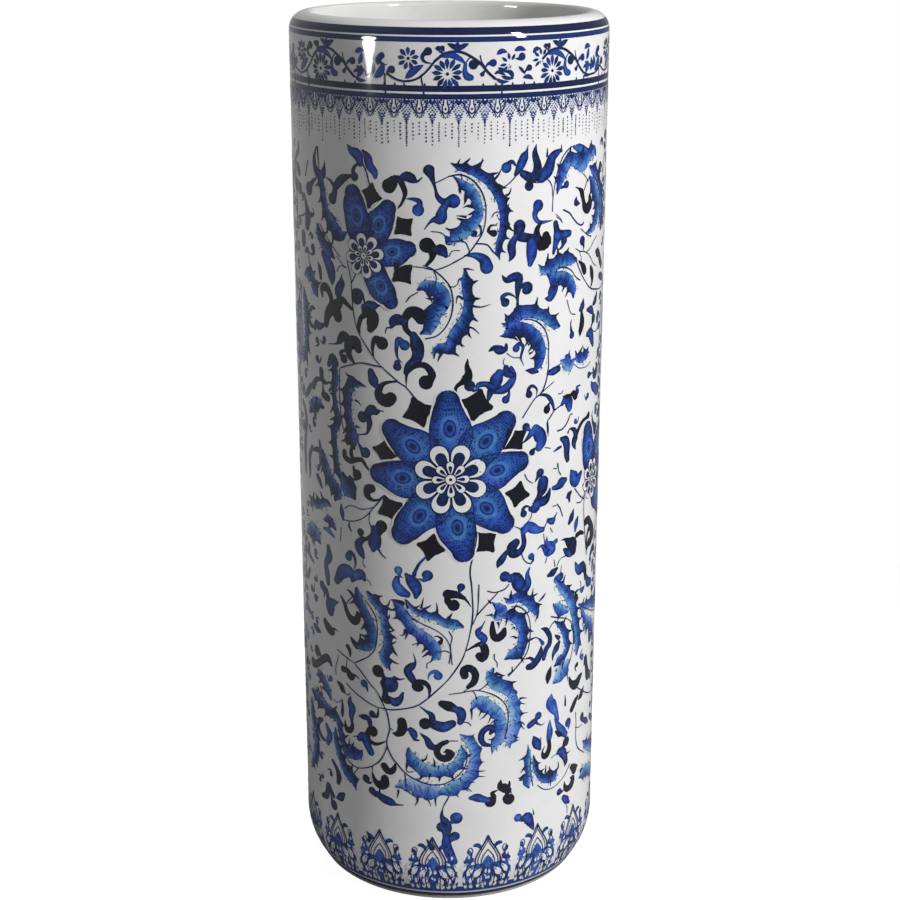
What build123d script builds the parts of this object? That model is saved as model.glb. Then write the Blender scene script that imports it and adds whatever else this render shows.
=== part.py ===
from build123d import *
from math import sqrt
import os

# Porcelain umbrella stand: a tall cylindrical jar with a rolled rim, a rounded heel and a foot
# ring. Millimetres, +Z up, origin on the floor at the centre of the foot.
#
# A jar this tall is made in pieces that are joined with slip while the clay is damp, then
# glazed and fired once. Each piece is its own solid here, and every seam is a real one:
# half-lap seams between the turned sections, a ledge under the floor slab, and a foot ring
# luted under the slab and the heel.

# Overall
HEIGHT = 610.0            # floor to the crest of the rim
RADIUS = 106.0            # outside of the glazed wall
WALL = 8.0                # clay of the barrel
GLAZE = 0.4               # coat of glaze, outside and in

# Rim
SHOULDER_ROUND = 11.5     # radius of the outer shoulder
THROAT_ROUND = 3.0        # radius of the inner edge
THROAT_DEPTH = 16.0       # crest to the lower end of the straight throat
RIM_DEPTH = 30.0          # crest to the lower edge of the rim ring

# Heel and foot
HEEL_ROUND = 55.0         # radius of the curve from the wall down to the foot
HEEL_HEIGHT = 34.0        # floor to the place where that curve leaves the wall
FOOT_HEIGHT = 3.0
FOOT_WIDTH = 12.0
FOOT_SETBACK = 0.6        # foot ring inside the edge of the heel
FOOT_CHAMFER = 0.8

# Floor slab
SLAB = 11.0               # thickness
SLAB_MARGIN = 1.5         # edge of the slab inside the curve of the heel
LEDGE_HEIGHT = 4.0        # thickness of the ledge that carries the slab
LEDGE_WIDTH = 3.0         # how far the ledge reaches in under the slab

# Seams of the barrel
SEAM_HEIGHT = 300.0       # floor to the outer edge of the seam between the two sections
LAP = 9.0                 # height of the spigot in each half-lap seam

# Derived places
CREST_RADIUS = RADIUS - SHOULDER_ROUND
SLAB_TOP = FOOT_HEIGHT + SLAB
INNER_DEPTH = GLAZE + WALL               # from the glazed outside to the inner face of the clay
WALL_MIDDLE = RADIUS - GLAZE - WALL / 2
RIM_SEAM_HEIGHT = HEIGHT - RIM_DEPTH
REACH = RADIUS + WALL                    # past the outside of everything that a region cuts


def heel_radius(depth, height):
    """Radius, at a height, of the heel's curve at a depth under the glazed outside."""
    centre_radius = RADIUS - HEEL_ROUND
    return centre_radius + sqrt((HEEL_ROUND - depth) ** 2 - (HEEL_HEIGHT - height) ** 2)


def region(*corners):
    """Closed face with straight sides between (radius, height) corners."""
    return make_face(Polyline(*corners, close=True))


def turned(section):
    """Solid of revolution about Z of a (radius, height) section."""
    return revolve(Plane.XZ * section, Axis.Z)


def outside_line(inset):
    """Line from the foot up the heel, wall and shoulder to the crest, moved into the clay."""
    heel_foot = (heel_radius(inset, FOOT_HEIGHT), FOOT_HEIGHT)
    heel_top = (RADIUS - inset, HEEL_HEIGHT)
    shoulder = (RADIUS - inset, HEIGHT - SHOULDER_ROUND)
    crest = (CREST_RADIUS, HEIGHT - inset)
    return Wire([
        TangentArc(heel_top, heel_foot, tangent=(0, -1)),
        Line(heel_top, shoulder),
        TangentArc(shoulder, crest, tangent=(0, 1)),
    ])


def inside_line(inset):
    """Line from the crest down the throat, well and inner heel to the middle of the floor."""
    depth = INNER_DEPTH + GLAZE - inset
    throat_radius = CREST_RADIUS - THROAT_ROUND + inset
    floor_height = SLAB_TOP + GLAZE - inset
    crest = (CREST_RADIUS, HEIGHT - inset)
    throat_top = (throat_radius, HEIGHT - THROAT_ROUND)
    throat_end = (throat_radius, HEIGHT - THROAT_DEPTH)
    well_top = (RADIUS - depth, RIM_SEAM_HEIGHT)
    heel_top = (RADIUS - depth, HEEL_HEIGHT)
    floor_edge = (heel_radius(depth, floor_height), floor_height)
    return Wire([
        TangentArc(crest, throat_top, tangent=(-1, 0)),
        Line(throat_top, throat_end),
        Line(throat_end, well_top),
        Line(well_top, heel_top),
        TangentArc(heel_top, floor_edge, tangent=(0, -1)),
        Line(floor_edge, (0, floor_height)),
    ])


def clay_section():
    """Half section of the fired clay above the foot, under both coats of glaze."""
    outside = outside_line(GLAZE)
    inside = inside_line(GLAZE)
    heel_foot = (heel_radius(GLAZE, FOOT_HEIGHT), FOOT_HEIGHT)
    underside = Polyline((0, SLAB_TOP), (0, FOOT_HEIGHT), heel_foot)
    return make_face(outside.edges() + inside.edges() + underside.edges())


def coat_section(face_line):
    """Half section of the coat of glaze on one face, straight across at its two ends."""
    skin = face_line(0)
    clay = face_line(GLAZE)
    ends = [Line(skin @ 0, clay @ 0), Line(skin @ 1, clay @ 1)]
    return make_face(skin.edges() + clay.edges() + ends)


def below_seam(height):
    """All that is under a half-lap seam, whose spigot is the inner half of the wall."""
    return region(
        (0, 0), (REACH, 0), (REACH, height),
        (WALL_MIDDLE, height), (WALL_MIDDLE, height + LAP), (0, height + LAP),
    )


def slab_region():
    """The floor slab, with a rebate round its lower edge that sits on the barrel's ledge."""
    edge = heel_radius(INNER_DEPTH, SLAB_TOP) - SLAB_MARGIN
    rebate_height = FOOT_HEIGHT + LEDGE_HEIGHT
    return region(
        (0, FOOT_HEIGHT), (edge - LEDGE_WIDTH, FOOT_HEIGHT), (edge - LEDGE_WIDTH, rebate_height),
        (edge, rebate_height), (edge, SLAB_TOP), (0, SLAB_TOP),
    )


def foot_section():
    """Unglazed foot ring, chamfered where it meets the floor."""
    outer = heel_radius(GLAZE, FOOT_HEIGHT) - FOOT_SETBACK
    inner = outer - FOOT_WIDTH
    return region(
        (inner, FOOT_HEIGHT), (inner, FOOT_CHAMFER), (inner + FOOT_CHAMFER, 0),
        (outer - FOOT_CHAMFER, 0), (outer, FOOT_CHAMFER), (outer, FOOT_HEIGHT),
    )


def build_nodes():
    """Every piece of the stand by its node name."""
    clay = clay_section()
    slab = slab_region()
    lower = below_seam(SEAM_HEIGHT)
    below_rim = below_seam(RIM_SEAM_HEIGHT)

    sections = {
        "foot_ring": foot_section(),
        "floor_slab": slab,
        "lower_barrel": (clay & lower) - slab,
        "upper_barrel": (clay & below_rim) - lower,
        "rim_ring": clay - below_rim,
        "inner_glaze": coat_section(inside_line),
        "outer_glaze": coat_section(outside_line),
    }
    return {name: turned(section) for name, section in sections.items()}


os.makedirs("parts", exist_ok=True)
for node_name, node_shape in build_nodes().items():
    node_shape.label = node_name
    export_step(node_shape, f"parts/{node_name}.step")
    print(node_name, len(node_shape.solids()), "solid,", round(node_shape.volume / 1000, 1), "cm3")
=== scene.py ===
"""Blue-and-white porcelain umbrella stand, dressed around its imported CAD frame.

Metres, Z up, the big flower facing -Y. The painting is laid out on the unrolled wall in
millimetres: across is the arc from the front line, positive to the right, and up is the height
above the floor.
"""
import math
import random

import bpy
import numpy as np
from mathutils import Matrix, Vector


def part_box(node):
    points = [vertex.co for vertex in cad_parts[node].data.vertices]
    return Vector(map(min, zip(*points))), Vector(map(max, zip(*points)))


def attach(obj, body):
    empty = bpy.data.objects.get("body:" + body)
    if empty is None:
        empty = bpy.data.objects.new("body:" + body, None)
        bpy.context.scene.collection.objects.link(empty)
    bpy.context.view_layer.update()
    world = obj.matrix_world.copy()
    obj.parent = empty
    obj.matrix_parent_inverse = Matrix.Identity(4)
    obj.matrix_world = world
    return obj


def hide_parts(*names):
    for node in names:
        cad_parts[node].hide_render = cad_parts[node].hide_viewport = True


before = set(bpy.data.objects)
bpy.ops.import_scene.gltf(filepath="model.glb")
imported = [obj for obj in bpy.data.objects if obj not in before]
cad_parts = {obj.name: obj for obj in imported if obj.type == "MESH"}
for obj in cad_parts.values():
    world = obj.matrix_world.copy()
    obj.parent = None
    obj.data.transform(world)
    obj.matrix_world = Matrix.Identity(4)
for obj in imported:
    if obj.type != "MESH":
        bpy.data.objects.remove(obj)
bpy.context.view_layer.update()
MM = 0.001

# The turned outline, in millimetres, from the frame and the rounds that the potter gave it
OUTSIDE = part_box("outer_glaze")
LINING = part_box("inner_glaze")
RADIUS = OUTSIDE[1].x / MM
HEIGHT = OUTSIDE[1].z / MM
GLAZE_FOOT = OUTSIDE[0].z / MM
GLAZE_COAT = 0.4
FLOOR_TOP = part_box("floor_slab")[1].z / MM + GLAZE_COAT
WELL_RADIUS = LINING[1].x / MM - GLAZE_COAT
SHOULDER_ROUND = 11.5
THROAT_ROUND = 3.0
THROAT_DEPTH = 16.0
RIM_DEPTH = 30.0
HEEL_ROUND = 55.0
HEEL_HEIGHT = 34.0
FLOOR_ROUND = 4.0
CREST_RADIUS = RADIUS - SHOULDER_ROUND
THROAT_RADIUS = CREST_RADIUS - THROAT_ROUND
# The coat of glaze turns in under the heel at the foot line: places beside and above that line
GLAZE_END = [(-3.0, 0.25), (-0.6, 0.0)]
LATHE_STEPS = 360

# The painting repeats after half a turn of the wall
PERIOD = math.pi * RADIUS
HALVES = (("front", 0), ("back", PERIOD))


# ---------------------------------------------------------------- shape of the wall

def outside_at(up):
    """Radius of the glazed outside and the upward tilt of its face, at heights in millimetres."""
    up = np.asarray(up, float)
    above = np.clip(up - HEIGHT + SHOULDER_ROUND, 0, SHOULDER_ROUND)
    below = np.clip(HEEL_HEIGHT - up, 0, HEEL_ROUND)
    radius = RADIUS - SHOULDER_ROUND + np.sqrt(SHOULDER_ROUND ** 2 - above ** 2)
    radius = np.where(up < HEEL_HEIGHT,
                      RADIUS - HEEL_ROUND + np.sqrt(HEEL_ROUND ** 2 - below ** 2), radius)
    tilt = np.arcsin(above / SHOULDER_ROUND) - np.arcsin(below / HEEL_ROUND)
    return radius, tilt


def on_wall(across, up, lift):
    """Points and outward normals, lifted off the glaze, for places on the unrolled wall."""
    radius, tilt = outside_at(up)
    turn = np.asarray(across, float) / RADIUS
    normal = np.stack([np.sin(turn) * np.cos(tilt), -np.cos(turn) * np.cos(tilt),
                       np.sin(tilt)], -1)
    place = np.stack([radius * np.sin(turn), -radius * np.cos(turn), up], -1)
    return (place + normal * np.asarray(lift)[..., None]) * MM, normal


def arc_points(centre, radius, start, end, steps):
    """Points on an arc in the (radius, height) plane, angles in degrees."""
    angles = np.radians(np.linspace(start, end, steps))
    return [(centre[0] + radius * math.cos(a), centre[1] + radius * math.sin(a)) for a in angles]


def straight(start, end, steps):
    """Points on a straight run in the (radius, height) plane, without its last one."""
    return [tuple(np.array(start) + (np.array(end) - start) * i / steps) for i in range(steps)]


def new_object(name, data):
    """An object in the scene."""
    thing = bpy.data.objects.new(name, data)
    bpy.context.scene.collection.objects.link(thing)
    return thing


def smooth_mesh(name, points, faces, material):
    """A smoothly shaded mesh of one material."""
    mesh = bpy.data.meshes.new(name)
    mesh.from_pydata(points.tolist(), [], faces)
    mesh.materials.append(material)
    mesh.shade_smooth()
    return mesh


def lathe(name, outline, material):
    """A surface of revolution from open (radius, height) points, in millimetres."""
    turns = np.linspace(0, 2 * math.pi, LATHE_STEPS, endpoint=False)
    rows = np.array(outline)
    count = len(rows)
    verts = np.stack([np.outer(np.sin(turns), rows[:, 0]), -np.outer(np.cos(turns), rows[:, 0]),
                      np.tile(rows[:, 1], (LATHE_STEPS, 1))], -1).reshape(-1, 3) * MM
    faces = []
    for i in range(LATHE_STEPS):
        here, there = i * count, (i + 1) % LATHE_STEPS * count
        faces += [(here + j, there + j, there + j + 1, here + j + 1) for j in range(count - 1)]
    piece = new_object(name, smooth_mesh(name, verts, faces, material))
    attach(piece, "root")
    return piece


# ---------------------------------------------------------------- materials

def new_material(name):
    """An empty node material with its Principled shader."""
    material = bpy.data.materials.new(name)
    material.use_nodes = True
    nodes = material.node_tree.nodes
    return material, nodes, material.node_tree.links, nodes["Principled BSDF"]


def noise(nodes, links, scale, detail=2.0, rough=0.5):
    """A noise texture in object space; scale is in features per metre."""
    place = nodes.new("ShaderNodeTexCoord")
    texture = nodes.new("ShaderNodeTexNoise")
    texture.inputs["Scale"].default_value = scale
    texture.inputs["Detail"].default_value = detail
    texture.inputs["Roughness"].default_value = rough
    links.new(place.outputs["Object"], texture.inputs["Vector"])
    return texture.outputs["Fac"]


def ramp(nodes, links, factor, stops):
    """A colour ramp over (position, linear colour) stops."""
    node = nodes.new("ShaderNodeValToRGB")
    elements = node.color_ramp.elements
    while len(elements) < len(stops):
        elements.new(0.5)
    for element, (position, colour) in zip(elements, stops):
        element.position = position
        element.color = (*colour, 1)
    links.new(factor, node.inputs["Fac"])
    return node.outputs["Color"]


def remap(nodes, links, value, low, high, to_low, to_high, smooth=False):
    """A value moved from one range to another: straight and unclipped, or in a smooth step."""
    node = nodes.new("ShaderNodeMapRange")
    if smooth:
        node.interpolation_type = "SMOOTHSTEP"
    else:
        node.clamp = False
    for name, number in zip(("From Min", "From Max", "To Min", "To Max"),
                            (low, high, to_low, to_high)):
        node.inputs[name].default_value = number
    links.new(value, node.inputs["Value"])
    return node.outputs["Result"]


def calculation(nodes, links, kind, operation, *values):
    """A math node; each value is a socket to link, or a plain number or vector."""
    node = nodes.new(kind)
    node.operation = operation
    for socket, value in zip(node.inputs, values):
        if isinstance(value, bpy.types.NodeSocket):
            links.new(value, socket)
        else:
            socket.default_value = value
    return node


def add(nodes, links, first, second):
    """The sum of two values."""
    return calculation(nodes, links, "ShaderNodeMath", "ADD", first, second).outputs["Value"]


def multiply(nodes, links, first, second):
    """The product of two values."""
    return calculation(nodes, links, "ShaderNodeMath", "MULTIPLY", first, second).outputs["Value"]


def relief(nodes, links, shader, height, strength, depth):
    """Fine relief on a shader, from a height value; depth is in metres."""
    bump = nodes.new("ShaderNodeBump")
    bump.inputs["Strength"].default_value = strength
    bump.inputs["Distance"].default_value = depth
    links.new(height, bump.inputs["Height"])
    links.new(bump.outputs["Normal"], shader.inputs["Normal"])


# Scales of the noises, in features per metre, and the span where most of a noise lies
GLOSS_DRIFT = 180.0
GLAZE_WAVES = 55.0
GLAZE_PITS = 700.0
WHITE_MOTTLE = 38.0
COBALT_POOLS = 260.0
COBALT_GRAIN = 900.0
COBALT_DRIFT = 42.0
CLAY_SPECKS = 420.0
CLAY_SCUFFS = 300.0
CLAY_TOOTH = 1500.0
NOISE_SPAN = (0.3, 0.7)

GLAZE_IOR = 1.55
CLAY_IOR = 1.45
# Sockets of a colour mix: its two colours and its result
MIX_A, MIX_B, MIX_RESULT = 6, 7, 2

# Ramps of linear colours: the glaze's mottled white, and the bare clay with its specks, kept darker than
# the clay's own white as painted shade on the foot
WHITES = [(0.30, (0.768, 0.768, 0.766)), (0.52, (0.808, 0.808, 0.807)), (0.75, (0.824, 0.824, 0.822))]
SHADED_CLAYS = [(0.30, (0.26, 0.24, 0.22)), (0.50, (0.40, 0.38, 0.35)), (0.72, (0.47, 0.45, 0.42))]


def glaze_gloss(nodes, links, shader):
    """The gloss that wall and paint share: a clear glaze with slow waves and faint pits."""
    rough = remap(nodes, links, noise(nodes, links, GLOSS_DRIFT, 3.0), *NOISE_SPAN, 0.045, 0.085)
    links.new(rough, shader.inputs["Roughness"])
    waves = noise(nodes, links, GLAZE_WAVES, 1.0)
    pits = remap(nodes, links, noise(nodes, links, GLAZE_PITS, 2.0), 0, 1, 0, 0.03)
    relief(nodes, links, shader, add(nodes, links, waves, pits), 0.25, 0.0004)
    shader.inputs["IOR"].default_value = GLAZE_IOR


def glazed_white(name, depth=1.0, warmth=0.0):
    """White porcelain under a clear glaze, with a faint mottle; a depth below 1 darkens it as painted
    shade.
    """
    material, nodes, links, shader = new_material(name)
    base = ramp(nodes, links, noise(nodes, links, WHITE_MOTTLE, 4.0, 0.6),
                [(stop, (depth * red, depth * green, depth * (blue - warmth)))
                 for stop, (red, green, blue) in WHITES])
    links.new(base, shader.inputs["Base Color"])
    glaze_gloss(nodes, links, shader)
    return material


# Colour of the stain by its tone: black where it is thickest, pale where it thins out
COBALT = [
    (0.00, (0.013, 0.013, 0.019)),
    (0.08, (0.012, 0.015, 0.038)),
    (0.13, (0.013, 0.023, 0.085)),
    (0.18, (0.014, 0.034, 0.160)),
    (0.24, (0.016, 0.047, 0.290)),
    (0.34, (0.023, 0.084, 0.420)),
    (0.44, (0.043, 0.142, 0.515)),
    (0.54, (0.090, 0.235, 0.590)),
    (0.66, (0.175, 0.360, 0.690)),
    (0.80, (0.310, 0.490, 0.760)),
    (1.00, (0.480, 0.600, 0.800)),
]
# The blue leans to teal in some places and to violet in others
HUE_DRIFT = [(0.36, (0.85, 1.0, 0.80)), (0.50, (0.95, 0.97, 0.92)), (0.64, (1.0, 0.80, 0.94))]


def cobalt(name, mottle=0.07, streak=0.05):
    """Cobalt stain under the glaze: its strength is painted in, and it pools and thins a little."""
    material, nodes, links, shader = new_material(name)
    tone = nodes.new("ShaderNodeAttribute")
    tone.attribute_name = "tone"
    pools = remap(nodes, links, noise(nodes, links, COBALT_POOLS, 2.0), *NOISE_SPAN, -mottle, mottle)
    grain = remap(nodes, links, noise(nodes, links, COBALT_GRAIN, 2.0), *NOISE_SPAN, -streak, streak)
    strength = add(nodes, links, tone.outputs["Fac"], add(nodes, links, pools, grain))
    drift = ramp(nodes, links, noise(nodes, links, COBALT_DRIFT, 2.0), HUE_DRIFT)
    tint = nodes.new("ShaderNodeMix")
    tint.data_type = "RGBA"
    tint.blend_type = "MULTIPLY"
    tint.inputs["Factor"].default_value = 1.0
    links.new(ramp(nodes, links, strength, COBALT), tint.inputs[MIX_A])
    links.new(drift, tint.inputs[MIX_B])
    links.new(tint.outputs[MIX_RESULT], shader.inputs["Base Color"])
    glaze_gloss(nodes, links, shader)
    return material


def fired_clay(name):
    """Bare white stoneware: dry, speckled and scuffed by the floor; its colour is kept dark as painted
    shade on the foot.
    """
    material, nodes, links, shader = new_material(name)
    # The clay colours are darkened as painted shade: the bare foot ring sits in shadow under the stand
    base = ramp(nodes, links, noise(nodes, links, CLAY_SPECKS, 5.0, 0.65), SHADED_CLAYS)
    links.new(base, shader.inputs["Base Color"])
    shader.inputs["IOR"].default_value = CLAY_IOR
    rough = remap(nodes, links, noise(nodes, links, CLAY_SCUFFS, 3.0), *NOISE_SPAN, 0.7, 0.95)
    links.new(rough, shader.inputs["Roughness"])
    relief(nodes, links, shader, noise(nodes, links, CLAY_TOOTH, 4.0, 0.6), 0.5, 0.0003)
    return material


WHITE_GLAZE = glazed_white("white_glaze")
# The lining is the same white glaze, darkened as painted shade inside the well
SHADED_LINING_GLAZE = glazed_white("lining_glaze_shaded", 0.84, 0.01)
CLAY = fired_clay("bare_clay")
PAINT = cobalt("cobalt_paint")
WASH_PAINT = cobalt("cobalt_wash", mottle=0.04, streak=0.025)
FLAT_PAINT = cobalt("cobalt_line", mottle=0.04, streak=0.03)
BAND_PAINT = cobalt("cobalt_bands", mottle=0.010, streak=0.006)
RESERVE = glazed_white("white_reserve")


# ---------------------------------------------------------------- the pot

def shoulder_points():
    """The rounded shoulder, from the wall up to the crest, on the glazed outside."""
    return arc_points((CREST_RADIUS, HEIGHT - SHOULDER_ROUND), SHOULDER_ROUND, 0, 90, 15)


def outside_outline():
    """The glazed outside from the foot line to the crest."""
    foot_drop = math.degrees(math.asin((HEEL_HEIGHT - GLAZE_FOOT) / HEEL_ROUND))
    heel = arc_points((RADIUS - HEEL_ROUND, HEEL_HEIGHT), HEEL_ROUND, -foot_drop, 0, 24)
    wall = straight((RADIUS, HEEL_HEIGHT), (RADIUS, HEIGHT - SHOULDER_ROUND), 60)[1:]
    line_radius, line_height = heel[0]
    turned_in = [(line_radius + beside, line_height + above) for beside, above in GLAZE_END]
    return turned_in + heel + wall + shoulder_points()


def inside_outline():
    """The glazed inside from the crest down the throat and the well to the middle of the floor."""
    crest = arc_points((CREST_RADIUS, HEIGHT - THROAT_ROUND), THROAT_ROUND, 90, 180, 8)
    throat_foot = HEIGHT - THROAT_DEPTH
    well_top = HEIGHT - RIM_DEPTH
    throat = straight((THROAT_RADIUS, HEIGHT - THROAT_ROUND), (THROAT_RADIUS, throat_foot), 4)[1:]
    flare = straight((THROAT_RADIUS, throat_foot), (WELL_RADIUS, well_top), 6)
    wall = straight((WELL_RADIUS, well_top), (WELL_RADIUS, FLOOR_TOP + FLOOR_ROUND), 40)
    bend = arc_points((WELL_RADIUS - FLOOR_ROUND, FLOOR_TOP + FLOOR_ROUND), FLOOR_ROUND, 0, -90, 7)
    middle = (0.01, FLOOR_TOP)
    floor = straight((WELL_RADIUS - FLOOR_ROUND, FLOOR_TOP), middle, 24)[1:]
    return crest + throat + flare + wall + bend + floor + [middle]


outer_skin = lathe("outer_glaze_skin", outside_outline(), WHITE_GLAZE)
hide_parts("outer_glaze")
inner_skin = lathe("inner_glaze_skin", inside_outline(), SHADED_LINING_GLAZE)
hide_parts("inner_glaze")
for clay_node in ("rim_ring", "upper_barrel", "lower_barrel", "floor_slab", "foot_ring"):
    clay_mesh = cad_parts[clay_node].data
    clay_mesh.materials.clear()
    clay_mesh.materials.append(CLAY)


# ---------------------------------------------------------------- brushwork

# How far each layer of paint stands off the glaze, in millimetres. The strokes of one layer take
# turns on a few sheets, so that two that cross seldom share a height.
LAYER = {"body": 0.04, "wash": 0.09, "eyes": 0.15, "line": 0.17, "dot": 0.21, "white": 0.25,
         "over": 0.29, "top": 0.33, "spot": 0.37}
SHEETS = 8
SHEET_GAP = 0.005


class Film:
    """Paint on the wall: many strokes gathered into one thin piece."""

    def __init__(self, layer, material):
        self.lift = LAYER[layer]
        self.material = material
        self.places = []
        self.tones = []
        self.lifts = []
        self.faces = []
        self.count = 0
        self.strokes = 0

    def add(self, places, tones, faces):
        """One stroke: rows of (across, up) in millimetres, a tone for each, and its faces."""
        lift = self.lift + SHEET_GAP * (self.strokes % SHEETS)
        self.strokes += 1
        self.places.append(places)
        self.tones.append(np.broadcast_to(tones, len(places)))
        self.lifts.append(np.full(len(places), lift))
        self.faces += [tuple(i + self.count for i in face) for face in faces]
        self.count += len(places)

    def build(self, name, shift=0.0):
        """The piece, with its unrolled map and the wall's own normals."""
        places = np.vstack(self.places)
        points, normals = on_wall(places[:, 0] + shift, places[:, 1], np.concatenate(self.lifts))
        mesh = smooth_mesh(name, points, self.faces, self.material)
        mesh.normals_split_custom_set_from_vertices(normals.tolist())
        tone = mesh.attributes.new("tone", "FLOAT", "POINT")
        tone.data.foreach_set("value", np.concatenate(self.tones).astype(np.float32))
        low, high = places.min(0), places.max(0)
        share = 0.01 + 0.98 * (places - low) / (high - low)
        corners = np.zeros(len(mesh.loops), int)
        mesh.loops.foreach_get("vertex_index", corners)
        chart = mesh.uv_layers.new(name="OFBake")
        chart.data.foreach_set("uv", share[corners].astype(np.float32).ravel())
        piece = new_object(name, mesh)
        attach(piece, "root")


def split_motif(motif):
    """A motif's marks, such as its tone, and its rows of places."""
    return ([part for part in motif if not isinstance(part, tuple)],
            [part for part in motif if isinstance(part, tuple)])


def smooth_run(rows, step=1.4):
    """Closely stepped rows on a smooth curve through the given ones, the first two being places."""
    rows = np.array(rows, float)
    padded = np.vstack([2 * rows[0] - rows[1], rows, 2 * rows[-1] - rows[-2]])
    found = []
    for a, b, c, d in zip(padded, padded[1:], padded[2:], padded[3:]):
        pieces = max(1, round(math.hypot(*(c - b)[:2]) / step))
        t = np.arange(pieces)[:, None] / pieces
        found.append(0.5 * (2 * b + (c - a) * t + (2 * a - 5 * b + 4 * c - d) * t ** 2
                            + (3 * b - a - 3 * c + d) * t ** 3))
    return np.vstack(found + [rows[-1:]])


def along(rows):
    """Distance along a run of rows, in millimetres."""
    steps = np.hypot(*np.diff(rows[:, :2], axis=0).T)
    return np.concatenate([[0], np.cumsum(steps)])


def unit(vectors):
    """The same vectors, one millimetre long."""
    return vectors / np.maximum(np.hypot(*vectors.T), 1e-9)[:, None]


def left_of(heading):
    """The directions to the left of the given ones."""
    return np.stack([-heading[:, 1], heading[:, 0]], -1)


def facing(turn):
    """The direction at an angle from the way across, in radians."""
    return np.array([math.cos(turn), math.sin(turn)])


def ring_faces(rings, sides):
    """Quads between neighbouring rings of points."""
    return [(i * sides + j, i * sides + (j + 1) % sides, (i + 1) * sides + (j + 1) % sides,
             (i + 1) * sides + j) for i in range(rings - 1) for j in range(sides)]


def grid_faces(rows, columns):
    """Quads between neighbouring rows of a grid of points."""
    return [(i * columns + j, i * columns + j + 1, (i + 1) * columns + j + 1, (i + 1) * columns + j)
            for i in range(rows - 1) for j in range(columns - 1)]


CAP_ANGLES = np.radians([87, 62, 38, 18])
WIDEST_FACET = 3.4
# Half widths: the least that is drawn, the least with a round cap, with a middle line and with a rim
FINEST, CAPPED, FOLDED, RIMMED = 0.06, 0.3, 0.5, 1.3
# The rim of a stroke gets no darker than this tone, unless the stroke itself is
DARKEST_EDGE = 0.12


def round_cap(centre, half, heading, tones, at, way):
    """Rows that round off a stroke at its first or last row, the way pointing out of it."""
    angles = CAP_ANGLES if at == 0 else CAP_ANGLES[::-1]
    return (centre[at] + way * half[at] * np.sin(angles)[:, None] * heading[at],
            half[at] * np.cos(angles), np.tile(heading[at], (len(angles), 1)),
            np.full(len(angles), tones[at]))


def columns_across(half, edge, slope, dome):
    """How far a stroke's columns lie from its middle line, and how each changes the tone."""
    widest = half.max()
    if widest <= FOLDED:
        return [-half, half], [0, 0]
    if widest <= RIMMED:
        return [-half, 0 * half, half], [-0.5 * edge, 0, -0.5 * edge]
    inner, middle = np.maximum(half - 0.45, 0.7 * half), np.maximum(half - 1.0, 0.4 * half)
    count = max(1, math.ceil(widest / WIDEST_FACET))
    core = [middle * k / count for k in range(-count, count + 1)]
    shares = np.arange(-count, count + 1) / count
    lean = list(slope * shares - dome * shares ** 2)
    shades = [lean[0] - edge, lean[0] - 0.6 * edge, *lean, lean[-1] - 0.6 * edge, lean[-1] - edge]
    return [-half, -inner, *core, inner, half], shades


def ribbon(film, centre, half, tone, edge=0.12, caps=(True, True), slope=0.0, dome=0.0):
    """A brush stroke along a run of places, with round ends, a darker rim and a lighter side."""
    centre = np.array(centre, float)
    half = np.maximum(np.array(half, float), FINEST)
    heading = unit(np.gradient(centre, axis=0))
    gone = along(centre)
    stops = np.atleast_1d(tone)
    tones = np.interp(gone / gone[-1], np.linspace(0, 1, len(stops)), stops)
    body = (centre, half, heading, tones)
    parts = [body]
    if caps[0] and half[0] > CAPPED:
        parts.insert(0, round_cap(*body, 0, -1))
    if caps[1] and half[-1] > CAPPED:
        parts.append(round_cap(*body, -1, 1))
    centre, half, heading, tones = (np.concatenate(part) for part in zip(*parts))
    offsets, shades = columns_across(half, edge, slope, dome)
    side = left_of(heading)
    places = np.stack([centre + side * offset[:, None] for offset in offsets], 1).reshape(-1, 2)
    floor = np.minimum(tones, DARKEST_EDGE)
    shade = np.stack([np.maximum(tones + change, floor) for change in shades], 1).reshape(-1)
    faces = [face[::-1] for face in grid_faces(len(centre), len(offsets))]
    film.add(places, shade, faces)


def stroke(film, rows, tone, edge=0.12, step=1.4, dome=0.0):
    """A brush stroke through given rows of (across, up, half width)."""
    fine = smooth_run(rows, step)
    ribbon(film, fine[:, :2], fine[:, 2], tone, edge, dome=dome)


def line(film, path, tone=0.2, half=0.28):
    """A thin pen line that fades to fine ends."""
    fine = smooth_run(path, 1.6)
    share = along(fine) / along(fine)[-1]
    ribbon(film, fine, half * (0.45 + 0.55 * np.sin(math.pi * share) ** 0.5), tone, 0, (False, False))


def comma(film, size, path, tone, edge=0.12, dome=0.0):
    """A round head at the start of the path, and a tail that tapers along it."""
    fine = smooth_run(path, 1.1)
    gone = along(fine)
    share = gone / gone[-1]
    head = np.sqrt(np.maximum(size ** 2 - gone ** 2, 0))
    tail = 0.62 * size * (1 - share) ** 0.8 + 0.1
    ribbon(film, fine, np.maximum(head, tail), tone, edge, dome=dome)


def leaf(film, size, path, tone, edge=0.12, belly=0.45):
    """A leaf that is pointed at both ends, widest at the belly's share of its length."""
    fine = smooth_run(path, 1.1)
    share = along(fine) / along(fine)[-1]
    bulge = share ** (math.log(0.5) / math.log(belly))
    ribbon(film, fine, size * np.sin(math.pi * bulge) ** 0.8, tone, edge, (False, False))


def dot(film, across, up, size, tone, sides=6, tall=1.0):
    """One dab of the brush."""
    angles = np.linspace(0, 2 * math.pi, sides, endpoint=False)
    ring = np.stack([across + size * np.cos(angles), up + size * tall * np.sin(angles)], -1)
    film.add(ring, tone, [tuple(range(sides))])


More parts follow.
